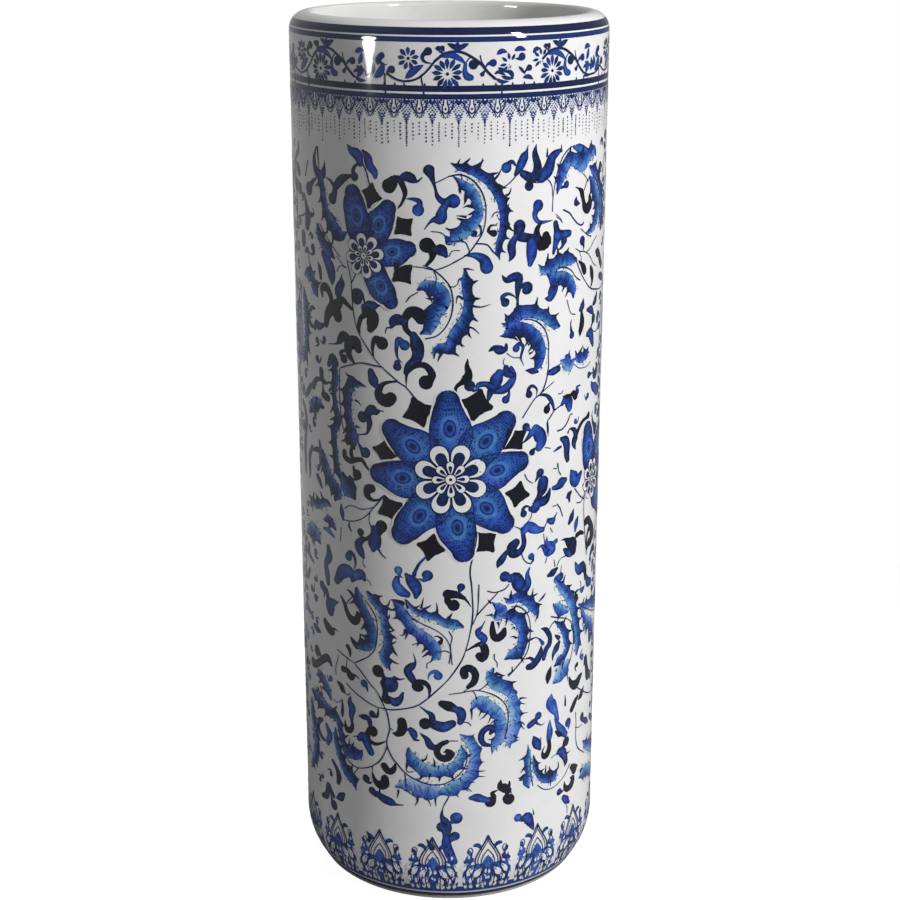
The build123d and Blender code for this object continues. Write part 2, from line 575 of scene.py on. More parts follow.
def disc(film, centre, edge, tones):
    """A filled shape round a centre, in nested rings; the tones run from its edge to its heart."""
    centre, edge = np.array(centre, float), np.array(edge, float)
    sides, rings = len(edge), len(tones)
    shares = np.linspace(1, 0.02, rings)
    places = np.vstack([centre + (edge - centre) * share for share in shares])
    faces = ring_faces(rings, sides)
    faces.append(tuple(range((rings - 1) * sides, rings * sides)))
    film.add(places, np.repeat(tones, sides), faces)


def circle(centre, radius, sides=24):
    """Places round a circle."""
    turns = np.linspace(0, 2 * math.pi, sides, endpoint=False)
    return np.array(centre) + radius * np.stack([np.cos(turns), np.sin(turns)], -1)


def thorn(film, path, tone=0.14, base=0.8):
    """A hooked thorn: widest at its root, fine at its tip."""
    fine = smooth_run(path, 1.0)
    share = along(fine) / along(fine)[-1]
    ribbon(film, fine, base * (1 - share) ** 0.8 + 0.12, tone, 0.04, (False, False))


# Feathers: from tooth to tooth, and from barb to barb on average; how far the band narrows at its
# ends; how deep the torn edge bites, as a share of the band's half width and at most; dabs beside
# each millimetre; how far the veins reach, as shares of the half width
TEETH_GAP = 8.5
BARB_GAP = 0.85
TAPER = 7
BITE_SHARE, BITE_MOST = 0.62, 2.1
SPECKLES = 0.55
VEINS = (0.9, 1.5)


class Frond:
    """One blade of a feather: a mottled band, torn along the edge where hooked thorns leave it.

    The side is that of the torn edge: 1 on the left of the brush's way, -1 on the right.
    """

    def __init__(self, films, tone, side, rows):
        self.films = films
        self.tone = tone
        self.side = side
        self.fine = smooth_run(rows, 0.7)
        gone = along(self.fine)
        self.length = gone[-1]
        self.fine[:, 2] *= (np.clip(0.3 + gone / TAPER, 0, 1)
                            * np.clip(0.3 + (self.length - gone) / TAPER, 0, 1))
        self.heading = unit(np.gradient(self.fine[:, :2], axis=0))
        self.beside = side * left_of(self.heading)
        self.teeth = max(2, round(self.length / TEETH_GAP))
        ends = np.cumsum([0] + [chance.uniform(0.7, 1.3) for _ in range(self.teeth)])
        self.place = np.interp(gone / self.length, ends / ends[-1], np.arange(self.teeth + 1))
        near = np.abs(2 * (self.place % 1) - 1)
        bite = (near ** 2.6 - 0.4) * np.minimum(BITE_SHARE * self.fine[:, 2], BITE_MOST)
        self.torn = self.fine[:, :2] + self.beside * (self.fine[:, 2] + bite)[:, None]
        self.band(near, bite)
        self.barbs()
        for k in range(1, 2 * self.teeth):
            at = min(int(np.searchsorted(self.place, k / 2)), len(self.fine) - 1)
            if self.fine[at, 2] < 1.2:
                continue
            if k % 2:
                self.hook(at)
            else:
                self.tooth(at)
        self.speckle()

    def band(self, near, bite):
        """The band itself, darker towards its teeth and in pools, and its torn outline."""
        pools = np.interp(self.place, range(self.teeth + 1),
                          [chance.uniform(-0.09, 0.09) for _ in range(self.teeth + 1)])
        shades = 1.08 * self.tone + 0.08 - 0.22 * near ** 3 + pools
        ribbon(self.films["wash"], self.fine[:, :2] + self.beside * (bite / 2)[:, None],
               self.fine[:, 2] + bite / 2, shades, 0.03, (True, True),
               -self.side * chance.uniform(0.10, 0.18), 0.02)
        ribbon(self.films["line"], self.torn, np.full(len(self.torn), 0.27),
               max(0.12, self.tone - 0.28), 0, (False, False))

    def barbs(self):
        """Fine lines that run in from the torn edge."""
        for _ in range(int(self.length / BARB_GAP)):
            at = chance.randrange(2, len(self.fine) - 2)
            half, beside, heading = self.fine[at, 2], self.beside[at], self.heading[at]
            root = self.torn[at] - beside * half * chance.uniform(0, 0.5)
            end = root - beside * half * chance.uniform(0.4, 1.2)
            end = end + heading * half * chance.uniform(-0.9, 0.3)
            line(self.films["line"], [root, (root + end) / 2 + 0.15 * half * heading, end],
                 max(0.12, self.tone - chance.uniform(0.0, 0.26)), chance.uniform(0.16, 0.34))

    def hook(self, at):
        """A small hook on the plain edge."""
        edge = self.fine[at, :2] - self.beside[at] * (self.fine[at, 2] - 0.6)
        reach = chance.uniform(1.0, 2.6)
        tip = edge - self.beside[at] * reach * 0.7 + self.heading[at] * reach * chance.choice((-0.8, 0.8))
        thorn(self.films["line"], [edge, edge - self.beside[at] * 0.5 * reach, tip], 0.16, 0.36)

    def tooth(self, at):
        """A thorn that leaves the torn edge, and two veins behind it."""
        half = self.fine[at, 2]
        reach = chance.uniform(0.6, 1.4) * min(3.4, half + 0.4)
        lean = self.heading[at] * reach * chance.uniform(-0.3, 0.9)
        root = self.torn[at] - self.beside[at] * 0.3 * half - 0.3 * lean
        tip = self.torn[at] + self.beside[at] * reach + lean
        bold = 1.0 if self.tone < 0.48 else 0.5
        thorn(self.films["line"], [root, self.torn[at], (self.torn[at] + tip) / 2 + 0.1 * lean, tip],
              0.11, bold * min(1.1, 0.32 * half))
        for reach in VEINS:
            start = min(at + chance.choice((-4, -2, 2, 4)), len(self.fine) - 1)
            root, heading = self.torn[start], self.heading[start]
            vein = root - self.beside[start] * half * reach + heading * chance.uniform(-2.5, 2.5)
            line(self.films["line"], [root, (root + vein) / 2 + heading, vein], 0.2, 0.2)

    def speckle(self):
        """Dabs of the brush beside the plain edge."""
        for _ in range(int(SPECKLES * self.length)):
            at = chance.randrange(len(self.fine))
            if self.fine[at, 2] > 2:
                away = self.fine[at, 2] + chance.uniform(0.3, 2.4)
                spot = self.fine[at, :2] - self.beside[at] * away
                dot(self.films["dot"], *spot, chance.uniform(0.25, 0.42), 0.2)


BAND_STEPS = 420


def band(film, low, high, tone, rows, edge=0.04):
    """A stripe all round the wall between two heights, with pooled edges."""
    turns = np.linspace(0, 2 * PERIOD, BAND_STEPS + 1)
    heights = np.linspace(low, high, rows)
    across, up = np.meshgrid(turns, heights, indexing="ij")
    shade = np.full(rows, float(tone))
    shade[[0, -1]] -= edge
    film.add(np.stack([across.ravel(), up.ravel()], -1), np.tile(shade, len(turns)),
             [face[::-1] for face in grid_faces(len(turns), rows)])


# ---------------------------------------------------------------- bands of the rim and foot

# Stripes: lower and upper edge, tone, and how many rows of points run from one edge to the other
BANDS = [
    (601.8, 606.2, 0.12, 6),
    (597.6, 600.8, 0.185, 4),
    (567.7, 571.5, 0.13, 3),
    (563.2, 566.4, 0.16, 3),
    (8.6, 13.8, 0.27, 5),
    (3.5, 6.9, 0.14, 4),
]
bands = Film("body", BAND_PAINT)
for low, high, tone, rows in BANDS:
    band(bands, low, high, tone, rows)
bands.build("bands")

# What the painter's hand leaves to chance
chance = random.Random(1076)


# ---------------------------------------------------------------- vine border under the rim

def daisy(film, across, up, petals, near, far, wide, tone):
    """A small daisy of brush dabs round a dark eye."""
    for k in range(petals):
        out = facing(2 * math.pi * (k + 0.3) / petals)
        start, end = out * near + (across, up), out * far * chance.uniform(0.93, 1.07) + (across, up)
        leaf(film, wide, [start, (start + end) / 2, end], tone + chance.uniform(-0.05, 0.09), 0.08, 0.6)
    dot(film, across, up, 1.1, 0.12, 9)


def half_daisy(film, across, up):
    """A daisy that turns away: a few petals over a cloud of dabs."""
    for degrees in (60, 100, 145, 190, 225):
        out = facing(math.radians(degrees))
        middle = np.array([across, up])
        leaf(film, 1.0, [middle + out * 2.3, middle + out * 4.5, middle + out * 6.8], 0.22, 0.08)
    for _ in range(7):
        dot(film, across + chance.uniform(-1.6, 1.6), up + chance.uniform(-3, -0.5), 0.35, 0.2)


# One length of the border. Stems: half width, then (across, up)
VINE_LINES = [
    (0.6, (-62, 573), (-53, 573.6), (-47, 574), (-42, 576), (-38.5, 578.5)),
    (0.6, (-38.5, 578), (-33, 575), (-27, 574), (-20, 575.5), (-14, 580), (-8.5, 586.5)),
    (0.75, (-8.5, 586.5), (-3, 590.7), (3, 592), (9, 591.2), (15, 588), (20, 584.2), (24, 579.5),
     (28.5, 575.5)),
    (0.45, (-40.5, 578), (-40, 566.5)),
    (0.45, (-17, 576), (-15.5, 566.5)),
    (0.45, (33, 571), (33, 566.5)),
    (0.4, (-8, 594), (-3.5, 590.5)),
    (0.4, (5, 596), (6, 592.5)),
    (0.35, (10, 585), (13, 588.5), (16, 587)),
    (0.35, (19.2, 589.5), (20, 586), (22, 583)),
]
# Curls: tone, size of the round head, and the path of the tail
VINE_COMMAS = [
    (0.22, 2.2, (-36, 580.8), (-38, 580), (-39.5, 577.5)),
    (0.2, 2.3, (-12.8, 592.2), (-15.8, 590.2), (-16.3, 588), (-14.6, 585.8), (-10, 584.8)),
    (0.18, 2.7, (15, 584.2), (18.5, 585), (21.5, 583.5)),
    (0.24, 2.1, (27.3, 585), (24, 584.5), (22.5, 582)),
    (0.2, 1.3, (20.5, 578.3), (22.5, 580.5), (24.5, 579.5)),
    (0.22, 1.9, (-42.5, 589), (-44, 586), (-41, 583.5), (-38.5, 584)),
    (0.2, 1.4, (-6.5, 594), (-3.5, 594.3), (-3.2, 591)),
    (0.2, 1.2, (-4, 594.4), (-4.5, 592), (-3.5, 590.5)),
    (0.22, 2.2, (46.3, 588.2), (44, 587), (41.5, 587.3)),
    (0.22, 1.8, (51.5, 581.3), (49, 579.6), (48.3, 577.6)),
]
# Leaves: tone, half width, and the path
VINE_LEAVES = [
    (0.16, 1.3, (5.6, 592.4), (3, 595), (-1.2, 596.9)),
    (0.24, 1.5, (5.6, 592.4), (5, 595), (5.4, 598)),
    (0.18, 1.3, (5.6, 592.4), (8, 595), (12.2, 596.8)),
    (0.26, 1.9, (-27, 575.5), (-21.5, 580.5), (-15.5, 584)),
    (0.30, 1.5, (-4.5, 588.5), (1, 590), (7, 587.5), (10.5, 584)),
    (0.26, 2.0, (-47.5, 575.5), (-43.5, 579), (-41, 585)),
    (0.3, 1.7, (-44.8, 583), (-44.5, 587), (-41.5, 590.5)),
    (0.2, 0.95, (28, 578), (31, 579.5), (35.5, 577.2)),
    (0.2, 0.95, (30, 582), (34, 580.5), (38, 578.5)),
    (0.2, 1.2, (36, 580.5), (39.5, 578), (40, 574.5)),
    (0.2, 0.95, (32.5, 577), (36.5, 575.5), (41, 575.2)),
    (0.22, 0.95, (28.5, 575.8), (33, 573.5), (38, 573.5)),
    (0.22, 0.8, (44, 582.5), (46.5, 580), (48.8, 577.3)),
    (0.3, 1.3, (-59, 583), (-57, 587), (-56.5, 591)),
    (0.3, 1.5, (-60, 575), (-57.5, 579), (-57, 583)),
    (0.24, 1.5, (-54, 576), (-52, 580), (-53, 584.5)),
    (0.2, 1.4, (-50.5, 577), (-48.5, 581), (-49.5, 585.5)),
    (0.26, 1.3, (29.5, 590), (33, 592), (36.5, 591)),
    (0.2, 1.2, (47, 575.5), (51, 576), (54.5, 574)),
    (0.24, 1.3, (41, 592), (45, 593.2), (49, 591.8)),
    (0.2, 1.2, (54, 590), (56.5, 592.5), (59.5, 592.5)),
]
# A hanging bud: tone, then (across, up, half width)
VINE_BUD = (0.36, (10, 585, 1.0), (9.7, 580, 1.5), (11.2, 577.0, 2.3), (13.4, 576.4, 1.9))
# Daisies: across, up, petals, near and far ends of a petal, its half width, tone
DAISIES = [(-25.2, 587.7, 9, 1.9, 7.2, 1.35, 0.20), (-1, 578.6, 13, 2.9, 9.6, 1.4, 0.18)]
# Places of the small spikes on the lower line, and of the daisies that turn away
VINE_BUMPS = (-41, -34, -28, -15, 21, 29, 33, 40, 48, 55)
HALF_DAISIES = [(38.3, 584.3), (60.5, 586.5)]
# Lengths of the border on half the wall: how far each is moved, and from where to where it is kept
VINE_UNITS = [(-91, -62, 31), (0, -60, 65), (70, -9, 31), (161, -62, 14)]


def vine_unit(film, shift, first, last):
    """One length of the border: a winding stem with leaves, curls and daisies."""
    def kept(motifs):
        """The marks of each motif that starts within this length, and its path, moved along."""
        for motif in motifs:
            marks, rows = split_motif(motif)
            if first <= rows[0][0] <= last:
                yield *marks, [(row[0] + shift, *row[1:]) for row in rows]

    for half, rows in kept(VINE_LINES):
        stroke(film, [(*place, 1.15 * half) for place in rows], 0.15, 0.04)
    for tone, size, rows in kept(VINE_COMMAS):
        comma(film, 1.12 * size, rows, tone - 0.04, 0.05)
    for tone, size, rows in kept(VINE_LEAVES):
        leaf(film, 1.25 * size, rows, tone, 0.12)
    for tone, rows in kept([VINE_BUD]):
        stroke(film, rows, tone, 0.14, dome=0.06)
    for across in VINE_BUMPS:
        if first <= across <= last:
            root = across + shift
            thorn(film, [(root, 570.8), (root + 0.2, 572), (root, 573.2)], 0.2, 0.9)
    for across, up in HALF_DAISIES:
        if first <= across <= last:
            half_daisy(film, across + shift, up)
    for across, *rest in DAISIES:
        if first <= across <= last:
            daisy(film, across + shift, *rest)


for half_name, half_shift in HALVES:
    vine = Film("line", FLAT_PAINT)
    for placing in VINE_UNITS:
        vine_unit(vine, *placing)
    vine.build(f"vine_border_{half_name}", half_shift)


# ---------------------------------------------------------------- lace and its strings of beads

PENDANTS = 41
PENDANT_PITCH = 2 * PERIOD / PENDANTS
FIRST_PENDANT = 6.0
LACE_TOP = 563.4
# The nested dotted arches: how many, where the lowest starts, how far it is to the next, half their
# width, and the way across and up from one stitch to the next
ARCHES = 5
ARCH_FOOT = 551.6
ARCH_GAP = 2.5
ARCH_HALF = 6.9
STITCH = (0.98, 1.42)
# Little bows that close the pendant: half length, height, half width
BOWS = [(2.5, 553.4, 0.26), (2.0, 551.8, 0.34), (1.2, 550.4, 0.36)]
# Right half of the drop between two pendants, from its top down to its foot
DROP = [(1.0, LACE_TOP), (1.2, 560.4), (2.1, 557.8), (1.5, 555.4), (0, 554.4)]
# The strings of beads: where they start, and where each of the four at a pendant ends
STRING_TOP = 549.2
STRING_ENDS = (534.0, 537.0, 541.0, 537.5)


def pendant(film, middle):
    """One pendant of the lace: nested dotted arches over a dark tip, and a drop beside it."""
    for ring in range(ARCHES):
        foot = ARCH_FOOT + ARCH_GAP * ring
        for k in range(int((LACE_TOP - foot) / STITCH[1]) + 1):
            across, up = STITCH[0] * k, foot + STITCH[1] * k
            if across > ARCH_HALF or up > LACE_TOP - 0.6:
                break
            for side in ((-1, 1) if k else (1,)):
                dot(film, middle + side * across, up, chance.uniform(0.50, 0.66),
                    0.20 + chance.uniform(-0.06, 0.16))
    for reach, up, half in BOWS:
        bow = [(middle - reach, up + 0.5, half), (middle, up, half), (middle + reach, up + 0.5, half)]
        stroke(film, bow, 0.22, 0.04)
    leaf(film, 0.7, [(middle, 551), (middle, 549.3), (middle, 547.6)], 0.2, 0.05)
    leaf(film, 1.1, [(middle - 1.8, LACE_TOP + 0.4), (middle, 560.6), (middle + 1.8, LACE_TOP + 0.4)],
         0.16, 0.05)
    for side in (-1, 1):
        line(film, [(middle + side * 7.6, 552.4), (middle + side * 5.2, 556.0),
                    (middle + side * 3.4, 559.4), (middle + side * 3.0, LACE_TOP)], 0.17, 0.45)
        line(film, [(middle + side * 1.0, LACE_TOP), (middle + side * 3.0, 560.2),
                    (middle + side * 5.4, LACE_TOP)], 0.17, 0.42)
    drop = middle + PENDANT_PITCH / 2
    left = [(drop - beside, up) for beside, up in DROP]
    right = [(drop + beside, up) for beside, up in DROP[-2::-1]]
    line(film, left + right, 0.18, 0.48)
    dot(film, drop, 557.4, 0.7, 0.14, 7, 1.3)
    for k in range(7):
        turn = math.radians(200 + 23.3 * k)
        dot(film, drop + 3.6 * math.cos(turn), 556.4 + 4.4 * math.sin(turn), 0.5, 0.24)


def bead_string(film, across, end):
    """A hanging string of small dabs; a few run together."""
    up = STRING_TOP + chance.uniform(-1.2, 0.4)
    gap = chance.choice((2.3, 2.3, 2.3, 2.1, 1.35))
    size = chance.uniform(0.46, 0.60)
    while up > end + chance.uniform(-1.0, 1.0):
        dot(film, across + chance.uniform(-0.15, 0.15), up, size * chance.uniform(0.8, 1.15),
            0.13 + chance.uniform(-0.04, 0.10), 6, 1.1)
        up -= gap


for half_name, first, count in (("front", -10, 21), ("back", 11, 20)):
    lace = Film("line", FLAT_PAINT)
    strings = Film("line", FLAT_PAINT)
    for k in range(first, first + count):
        middle = FIRST_PENDANT + k * PENDANT_PITCH
        pendant(lace, middle)
        for j, end in enumerate(STRING_ENDS):
            bead_string(strings, middle + j * PENDANT_PITCH / 4, end)
    lace.build(f"lace_{half_name}")
    strings.build(f"bead_strings_{half_name}")


# ---------------------------------------------------------------- palmettes over the foot

PALMETTES = 17
PALMETTE_PITCH = 2 * PERIOD / PALMETTES
FIRST_PALMETTE = 27.5

# Half of the palmette; the other half mirrors it. Dark leaves: tone, then (beside its middle line, up,
# half width)
PALMETTE_MASS = [
    (0.24, (0.4, 12, 3.0), (0.8, 18, 3.4), (1.2, 24, 3.2), (1.8, 29, 2.2), (4.5, 31.4, 1.2)),
    (0.20, (7.6, 12.6, 1.6), (8.6, 17, 1.9), (8.2, 22, 1.7), (6, 27, 1.4), (3, 30, 0.8)),
    (0.20, (12.6, 12.4, 1.6), (13.8, 18, 2.0), (13.4, 24, 2.0), (11.4, 29, 1.6), (8.8, 32.4, 0.8)),
    (0.22, (16.0, 12.4, 1.1), (16.3, 18, 1.2), (16.2, 25, 1.4), (15.2, 30.4, 1.0)),
    (0.22, (10.4, 31.6, 1.0), (11.6, 34.6, 2.0), (13.4, 37.4, 2.4), (12.6, 40.6, 1.3),
     (13.6, 43.4, 1.3)),
    (0.20, (15.6, 35.2, 1.5), (13.4, 36.0, 1.9), (11.4, 37.6, 1.2)),
    (0.30, (0.4, 30.6, 1.2), (0.6, 33.6, 2.0), (0.3, 37.2, 1.5), (0, 38.8, 0.4)),
]
# Outline of the blue ground, round its heart, and its tones from the outline inwards
PALMETTE_GROUND = [(0, 39.5), (2.6, 36.4), (4.6, 32.6), (8.4, 33.4), (13, 34.4), (16.6, 32), (17.4, 27),
                   (17.0, 20), (17.0, 12)]
GROUND_HEART = 22
GROUND_TONES = (0.34, 0.42, 0.30, 0.46, 0.30, 0.40, 0.28, 0.34)
# Pen lines: half width, then (beside the middle line, up)
PALMETTE_LINES = [
    (0.55, (0.2, 54.4), (2.6, 49.2), (6.6, 42.4), (9.0, 37), (8.8, 31.5)),
    (0.35, (0.2, 50.6), (2.4, 46.6), (5.2, 41.6), (7.2, 36.4), (7.0, 32)),
    (0.4, (0.1, 43.6), (2.6, 40.4), (4.6, 36.4), (5.0, 31.6)),
    (0.35, (12.0, 40.5), (10.8, 43.5), (12.0, 46.0), (14.0, 45), (14.4, 41.5)),
    (0.4, (9.6, 28.6), (11.8, 24.4), (11.0, 19), (10.4, 14)),
    (0.4, (15.6, 28), (15.9, 23), (15.4, 17.6)),
    (0.4, (4.6, 27), (5.4, 22.4), (5.2, 17.4), (4.8, 13.4)),
]
# A curl beside the point of the arch
PALMETTE_CURL = [(10.8, 47.0), (8.4, 48.0), (6.0, 46.8), (4.6, 43.6)]
# White leaves left bare of paint: half width, then both ends and the place between them
PALMETTE_LEAVES = [
    (2.0, (3.6, 29.6), (6.4, 26.6), (9.4, 22.0)), (1.7, (3.4, 22.4), (5.4, 19.8), (6.6, 15.6)),
    (2.0, (9.6, 31.6), (12.4, 28.4), (14.6, 23.6)), (1.6, (9.6, 23.6), (11.4, 20.6), (12.2, 16.8)),
    (1.6, (14.8, 34.0), (17.0, 31.0), (18.2, 27.0)), (1.4, (15.2, 24.0), (16.6, 20.8), (16.8, 17.0)),
    (1.4, (5.6, 16.6), (6.6, 14.2), (6.4, 11.4)), (1.4, (10.4, 16.6), (11.6, 14.2), (11.2, 11.4)),
    (1.2, (14.8, 16.4), (15.8, 14.2), (15.4, 11.4)), (1.2, (2.2, 18.0), (3.4, 15.0), (3.0, 11.4)),
    (0.9, (9.6, 35.2), (10.8, 33.4), (12.6, 32.6)), (0.8, (12.6, 37.0), (13.6, 38.4), (13.4, 40.4)),
    (0.9, (0.6, 29.0), (1.4, 27.0), (1.2, 24.6)), (0.7, (0.4, 23.0), (0.9, 21.4), (0.6, 19.6)),
]


def palmette_side(mass, whites, lines, middle, side):
    """Half of a palmette: side is -1 on the left and 1 on the right."""
    def placed(path):
        """A path of the half palmette on this side of the middle line."""
        return [(middle + side * x, z) for x, z in path]

    for tone, *rows in PALMETTE_MASS:
        rows = [(middle + side * (x + chance.uniform(-0.5, 0.5)), z + chance.uniform(-0.4, 0.4), half)
                for x, z, half in rows]
        stroke(mass, rows, tone + chance.uniform(-0.04, 0.22), 0.12)
    for half, *path in PALMETTE_LINES:
        stroke(lines, [(*place, half) for place in placed(path)], 0.16, 0.04)
    leaf(mass, 1.6, placed(PALMETTE_CURL), 0.24, 0.1, 0.4)
    for half, *path in PALMETTE_LEAVES:
        bare = np.array(placed(path)) + (chance.uniform(-0.5, 0.5), chance.uniform(-0.5, 0.5))
        leaf(whites, half * chance.uniform(0.9, 1.25), bare, 0, 0, 0.6)
        line(lines, bare[:2], 0.18, 0.32)
    for _ in range(7):
        dot(lines, middle + side * chance.uniform(2.4, 4.4), chance.uniform(34, 40), 0.3, 0.24)
    for _ in range(13):
        across, up = middle + side * chance.uniform(2, 16.5), chance.uniform(14, 33)
        line(lines, [(across, up), (across + side * 0.5, up - 1.1), (across + side * 0.2, up - 2.4)],
             0.14, 0.3)
    for _ in range(9):
        across, up = middle + side * chance.uniform(1, 16.5), chance.uniform(13, 32)
        sway = chance.uniform(-1.2, 1.2)
        path = [(across, up), (across + sway, up - 1.3), (across + 1.3 * sway, up - 2.8)]
        leaf(whites, chance.uniform(0.35, 0.7), path, 0, 0)


def palmette(ground_film, mass, whites, lines, middle):
    """A pointed double arch over a crowd of dark leaves, with white ones left bare between them."""
    ground = [(middle + x, z) for x, z in PALMETTE_GROUND]
    ground += [(middle - x, z) for x, z in PALMETTE_GROUND[:0:-1]]
    disc(ground_film, (middle, GROUND_HEART), ground[::-1], GROUND_TONES)
    for side in (-1, 1):
        palmette_side(mass, whites, lines, middle, side)
    leaf(lines, 0.9, [(middle, 55.3), (middle, 53.4), (middle, 50.6)], 0.2, 0.05, 0.6)


for half_name, first, count in (("front", -4, 9), ("back", 5, 8)):
    ground, mass = Film("body", PAINT), Film("wash", PAINT)
    whites, lines = Film("white", RESERVE), Film("over", FLAT_PAINT)
    for k in range(first, first + count):
        palmette(ground, mass, whites, lines, FIRST_PALMETTE + k * PALMETTE_PITCH)
    ground.build(f"palmette_grounds_{half_name}")
    mass.build(f"palmettes_{half_name}")
    whites.build(f"palmette_blossoms_{half_name}")
    lines.build(f"palmette_lines_{half_name}")


# ---------------------------------------------------------------- flowers of the field

# Rings of the eye from its heart outwards: share of its size and tone, the last one being the petal's
EYE_RINGS = [(0.04, 0.11), (0.22, 0.14), (0.30, 0.30), (0.46, 0.40), (0.52, 0.16), (0.60, 0.18),
             (0.67, 0.46), (0.82, 0.50), (1.0, 0.43)]
EYE_SIDES = 28
# The eye's place on the petal, its half length and its half width, as shares of the petal's length
EYE_AT, EYE_LONG, EYE_WIDE = 0.58, 0.158, 0.112
# Half width at shares of the petal's length, both as shares of that length; tones along it
PETAL_WIDTHS = [(0.20, 0.16), (0.34, 0.215), (0.48, 0.228), (0.60, 0.214), (0.72, 0.190), (0.82, 0.162),
                (0.88, 0.132)]
PETAL_TONES = (0.16, 0.30, 0.46, 0.52, 0.48, 0.40, 0.33)
# Dabs: the gap between them and between their rows, and the depth of a row; the pale oval that stays
# free of them, its half length and half width as shares of the petal's length
DOT_GAP = 1.9
DOT_ROW = 1.3
PALE_LONG, PALE_WIDE = 0.15, 0.105
# The dabs on the petals' round ends have their own draws
tip_chance = random.Random(77)


def eye(film, centre, turn, wide, long):
    """Concentric ovals, dark at heart, that fade into the petal."""
    angles = np.linspace(0, 2 * math.pi, EYE_SIDES, endpoint=False)
    rings, tones = [], []
    for share, tone in EYE_RINGS:
        ahead = long * share * np.cos(angles)
        aside = wide * share * np.sin(angles)
        rings.append(np.stack([centre[0] + ahead * math.cos(turn) - aside * math.sin(turn),
                               centre[1] + ahead * math.sin(turn) + aside * math.cos(turn)], -1))
        tones += [tone] * EYE_SIDES
    faces = [(a, d, c, b) for a, b, c, d in ring_faces(len(EYE_RINGS), EYE_SIDES)]
    faces.append(tuple(range(EYE_SIDES)))
    film.add(np.vstack(rings), np.array(tones), faces)


def petal_edge(films, fine, out, side, hand):
    """The dark line round one side of a petal, and the white halo outside its outer third."""
    round_end, angles = fine[-1, 2], CAP_ANGLES[::-1]
    tip = fine[-1, :2] + round_end * np.outer(np.sin(angles), out)
    bow = tip + hand * np.outer(np.cos(angles) * round_end, side)
    edge = np.vstack([fine[:, :2] + hand * fine[:, 2:3] * side, bow])
    ribbon(films["line"], edge, np.full(len(edge), 0.36), 0.16, 0, (False, False))
    rim = edge[int(0.64 * len(fine)):]
    outward = unit(np.gradient(rim, axis=0) @ np.array([[0, hand], [-hand, 0]]))
    swell = np.sin(np.linspace(0.05, 0.9 * math.pi, len(rim)))
    ribbon(films["white"], rim + 0.95 * outward, 0.62 * swell, 0, 0, (False, False))


def stipple(film, fine, out, side, middle, pale_long, pale_wide):
    """Rows of dabs across a petal, the more of them the farther they are from its eye."""
    for at, gone in enumerate(along(fine)):
        if gone % DOT_GAP > DOT_ROW:
            continue
        shift = chance.uniform(0, DOT_GAP)
        for beside in np.arange(shift - fine[at, 2], fine[at, 2] - 0.6, DOT_GAP):
            jitter = chance.uniform(-0.4, 0.4)
            spot = fine[at, :2] + side * (beside + jitter) + out * chance.uniform(-0.5, 0.5)
            near = np.hypot((spot - middle) @ out / pale_long, (spot - middle) @ side / pale_wide)
            if near > 1.05 and chance.random() < 0.45 + 0.35 * near:
                dot(film, *spot, chance.uniform(0.46, 0.70), 0.11 + chance.uniform(-0.04, 0.06))


def tip_stipple(film, last_row, out, side):
    """The same dabs on the petal's round end, beyond its last row."""
    end, round_end = last_row[:2], last_row[2]
    for past in np.arange(0.9, round_end - 0.8, DOT_GAP - 0.3):
        reach = math.sqrt(round_end ** 2 - past ** 2) - 0.7
        for beside in np.arange(tip_chance.uniform(0, DOT_GAP) - reach, reach, DOT_GAP):
            spot = end + out * (past + tip_chance.uniform(-0.4, 0.4)) + side * beside
            dot(film, *spot, tip_chance.uniform(0.46, 0.66), 0.11 + tip_chance.uniform(-0.04, 0.06))


def petal(films, heart, degrees, length, width, bend):
    """One great petal: dark rim, pale heart round an eye, and stipple towards its edges."""
    turn = math.radians(degrees)
    out = facing(turn)
    side = np.array([-out[1], out[0]])
    phase = chance.uniform(0, 6)
    rows = []
    for share, half in PETAL_WIDTHS:
        sway = bend * share ** 2 + 0.016 * math.sin(9 * share + phase)
        place = np.array(heart) + out * length * share + side * length * sway
        rows.append((*place, half * length * width * (1 + 0.06 * math.sin(13 * share + 2 * phase))))
    fine = smooth_run(rows, 1.3)
    ribbon(films["wash"], fine[:, :2], fine[:, 2], PETAL_TONES, 0.08, (False, True),
           chance.uniform(-0.05, 0.05), 0.19)
    for hand in (-1, 1):
        petal_edge(films, fine, out, side, hand)
    middle = np.array(heart) + out * length * EYE_AT + side * bend * length * EYE_AT ** 2
    eye(films["eyes"], middle, turn, EYE_WIDE * length * width, EYE_LONG * length)
    stipple(films["dot"], fine, out, side, middle, PALE_LONG * length, PALE_WIDE * length * width)
    tip_stipple(films["dot"], fine[-1], out, side)


# Rings of the rosette's petals: films for outline, petal and heart, then each one's near end, far end
# and half width
ROSETTE_RINGS = [
    (("dot", "white", "over"), (0.12, 1.03, 0.264), (0.14, 1.0, 0.240), (0.02, 0.80, 0.152)),
    (("over", "top", "spot"), (0.08, 0.515, 0.118), (0.08, 0.495, 0.098), (0.14, 0.385, 0.050)),
]
ROSETTE_TONES = (0.08, 0, 0.15)
ROSETTE_GROUND = (0.34, 0.22, 0.14, 0.1, 0.1, 0.1, 0.1, 0.1)
# Half width of a petal along it, as shares of its span and of its full half width
TEARDROP = [(0.0, 0.06), (0.25, 0.36), (0.50, 0.72), (0.72, 0.96), (0.86, 1.0)]


def teardrop(film, heart, out, near, far, half, tone, rim):
    """A petal pointed towards the heart and round at its outer end."""
    span = (far - near - half) / TEARDROP[-1][0]
    rows = [(*(heart + out * (near + share * span)), half * width) for share, width in TEARDROP]
    stroke(film, rows, tone, rim, 0.9)


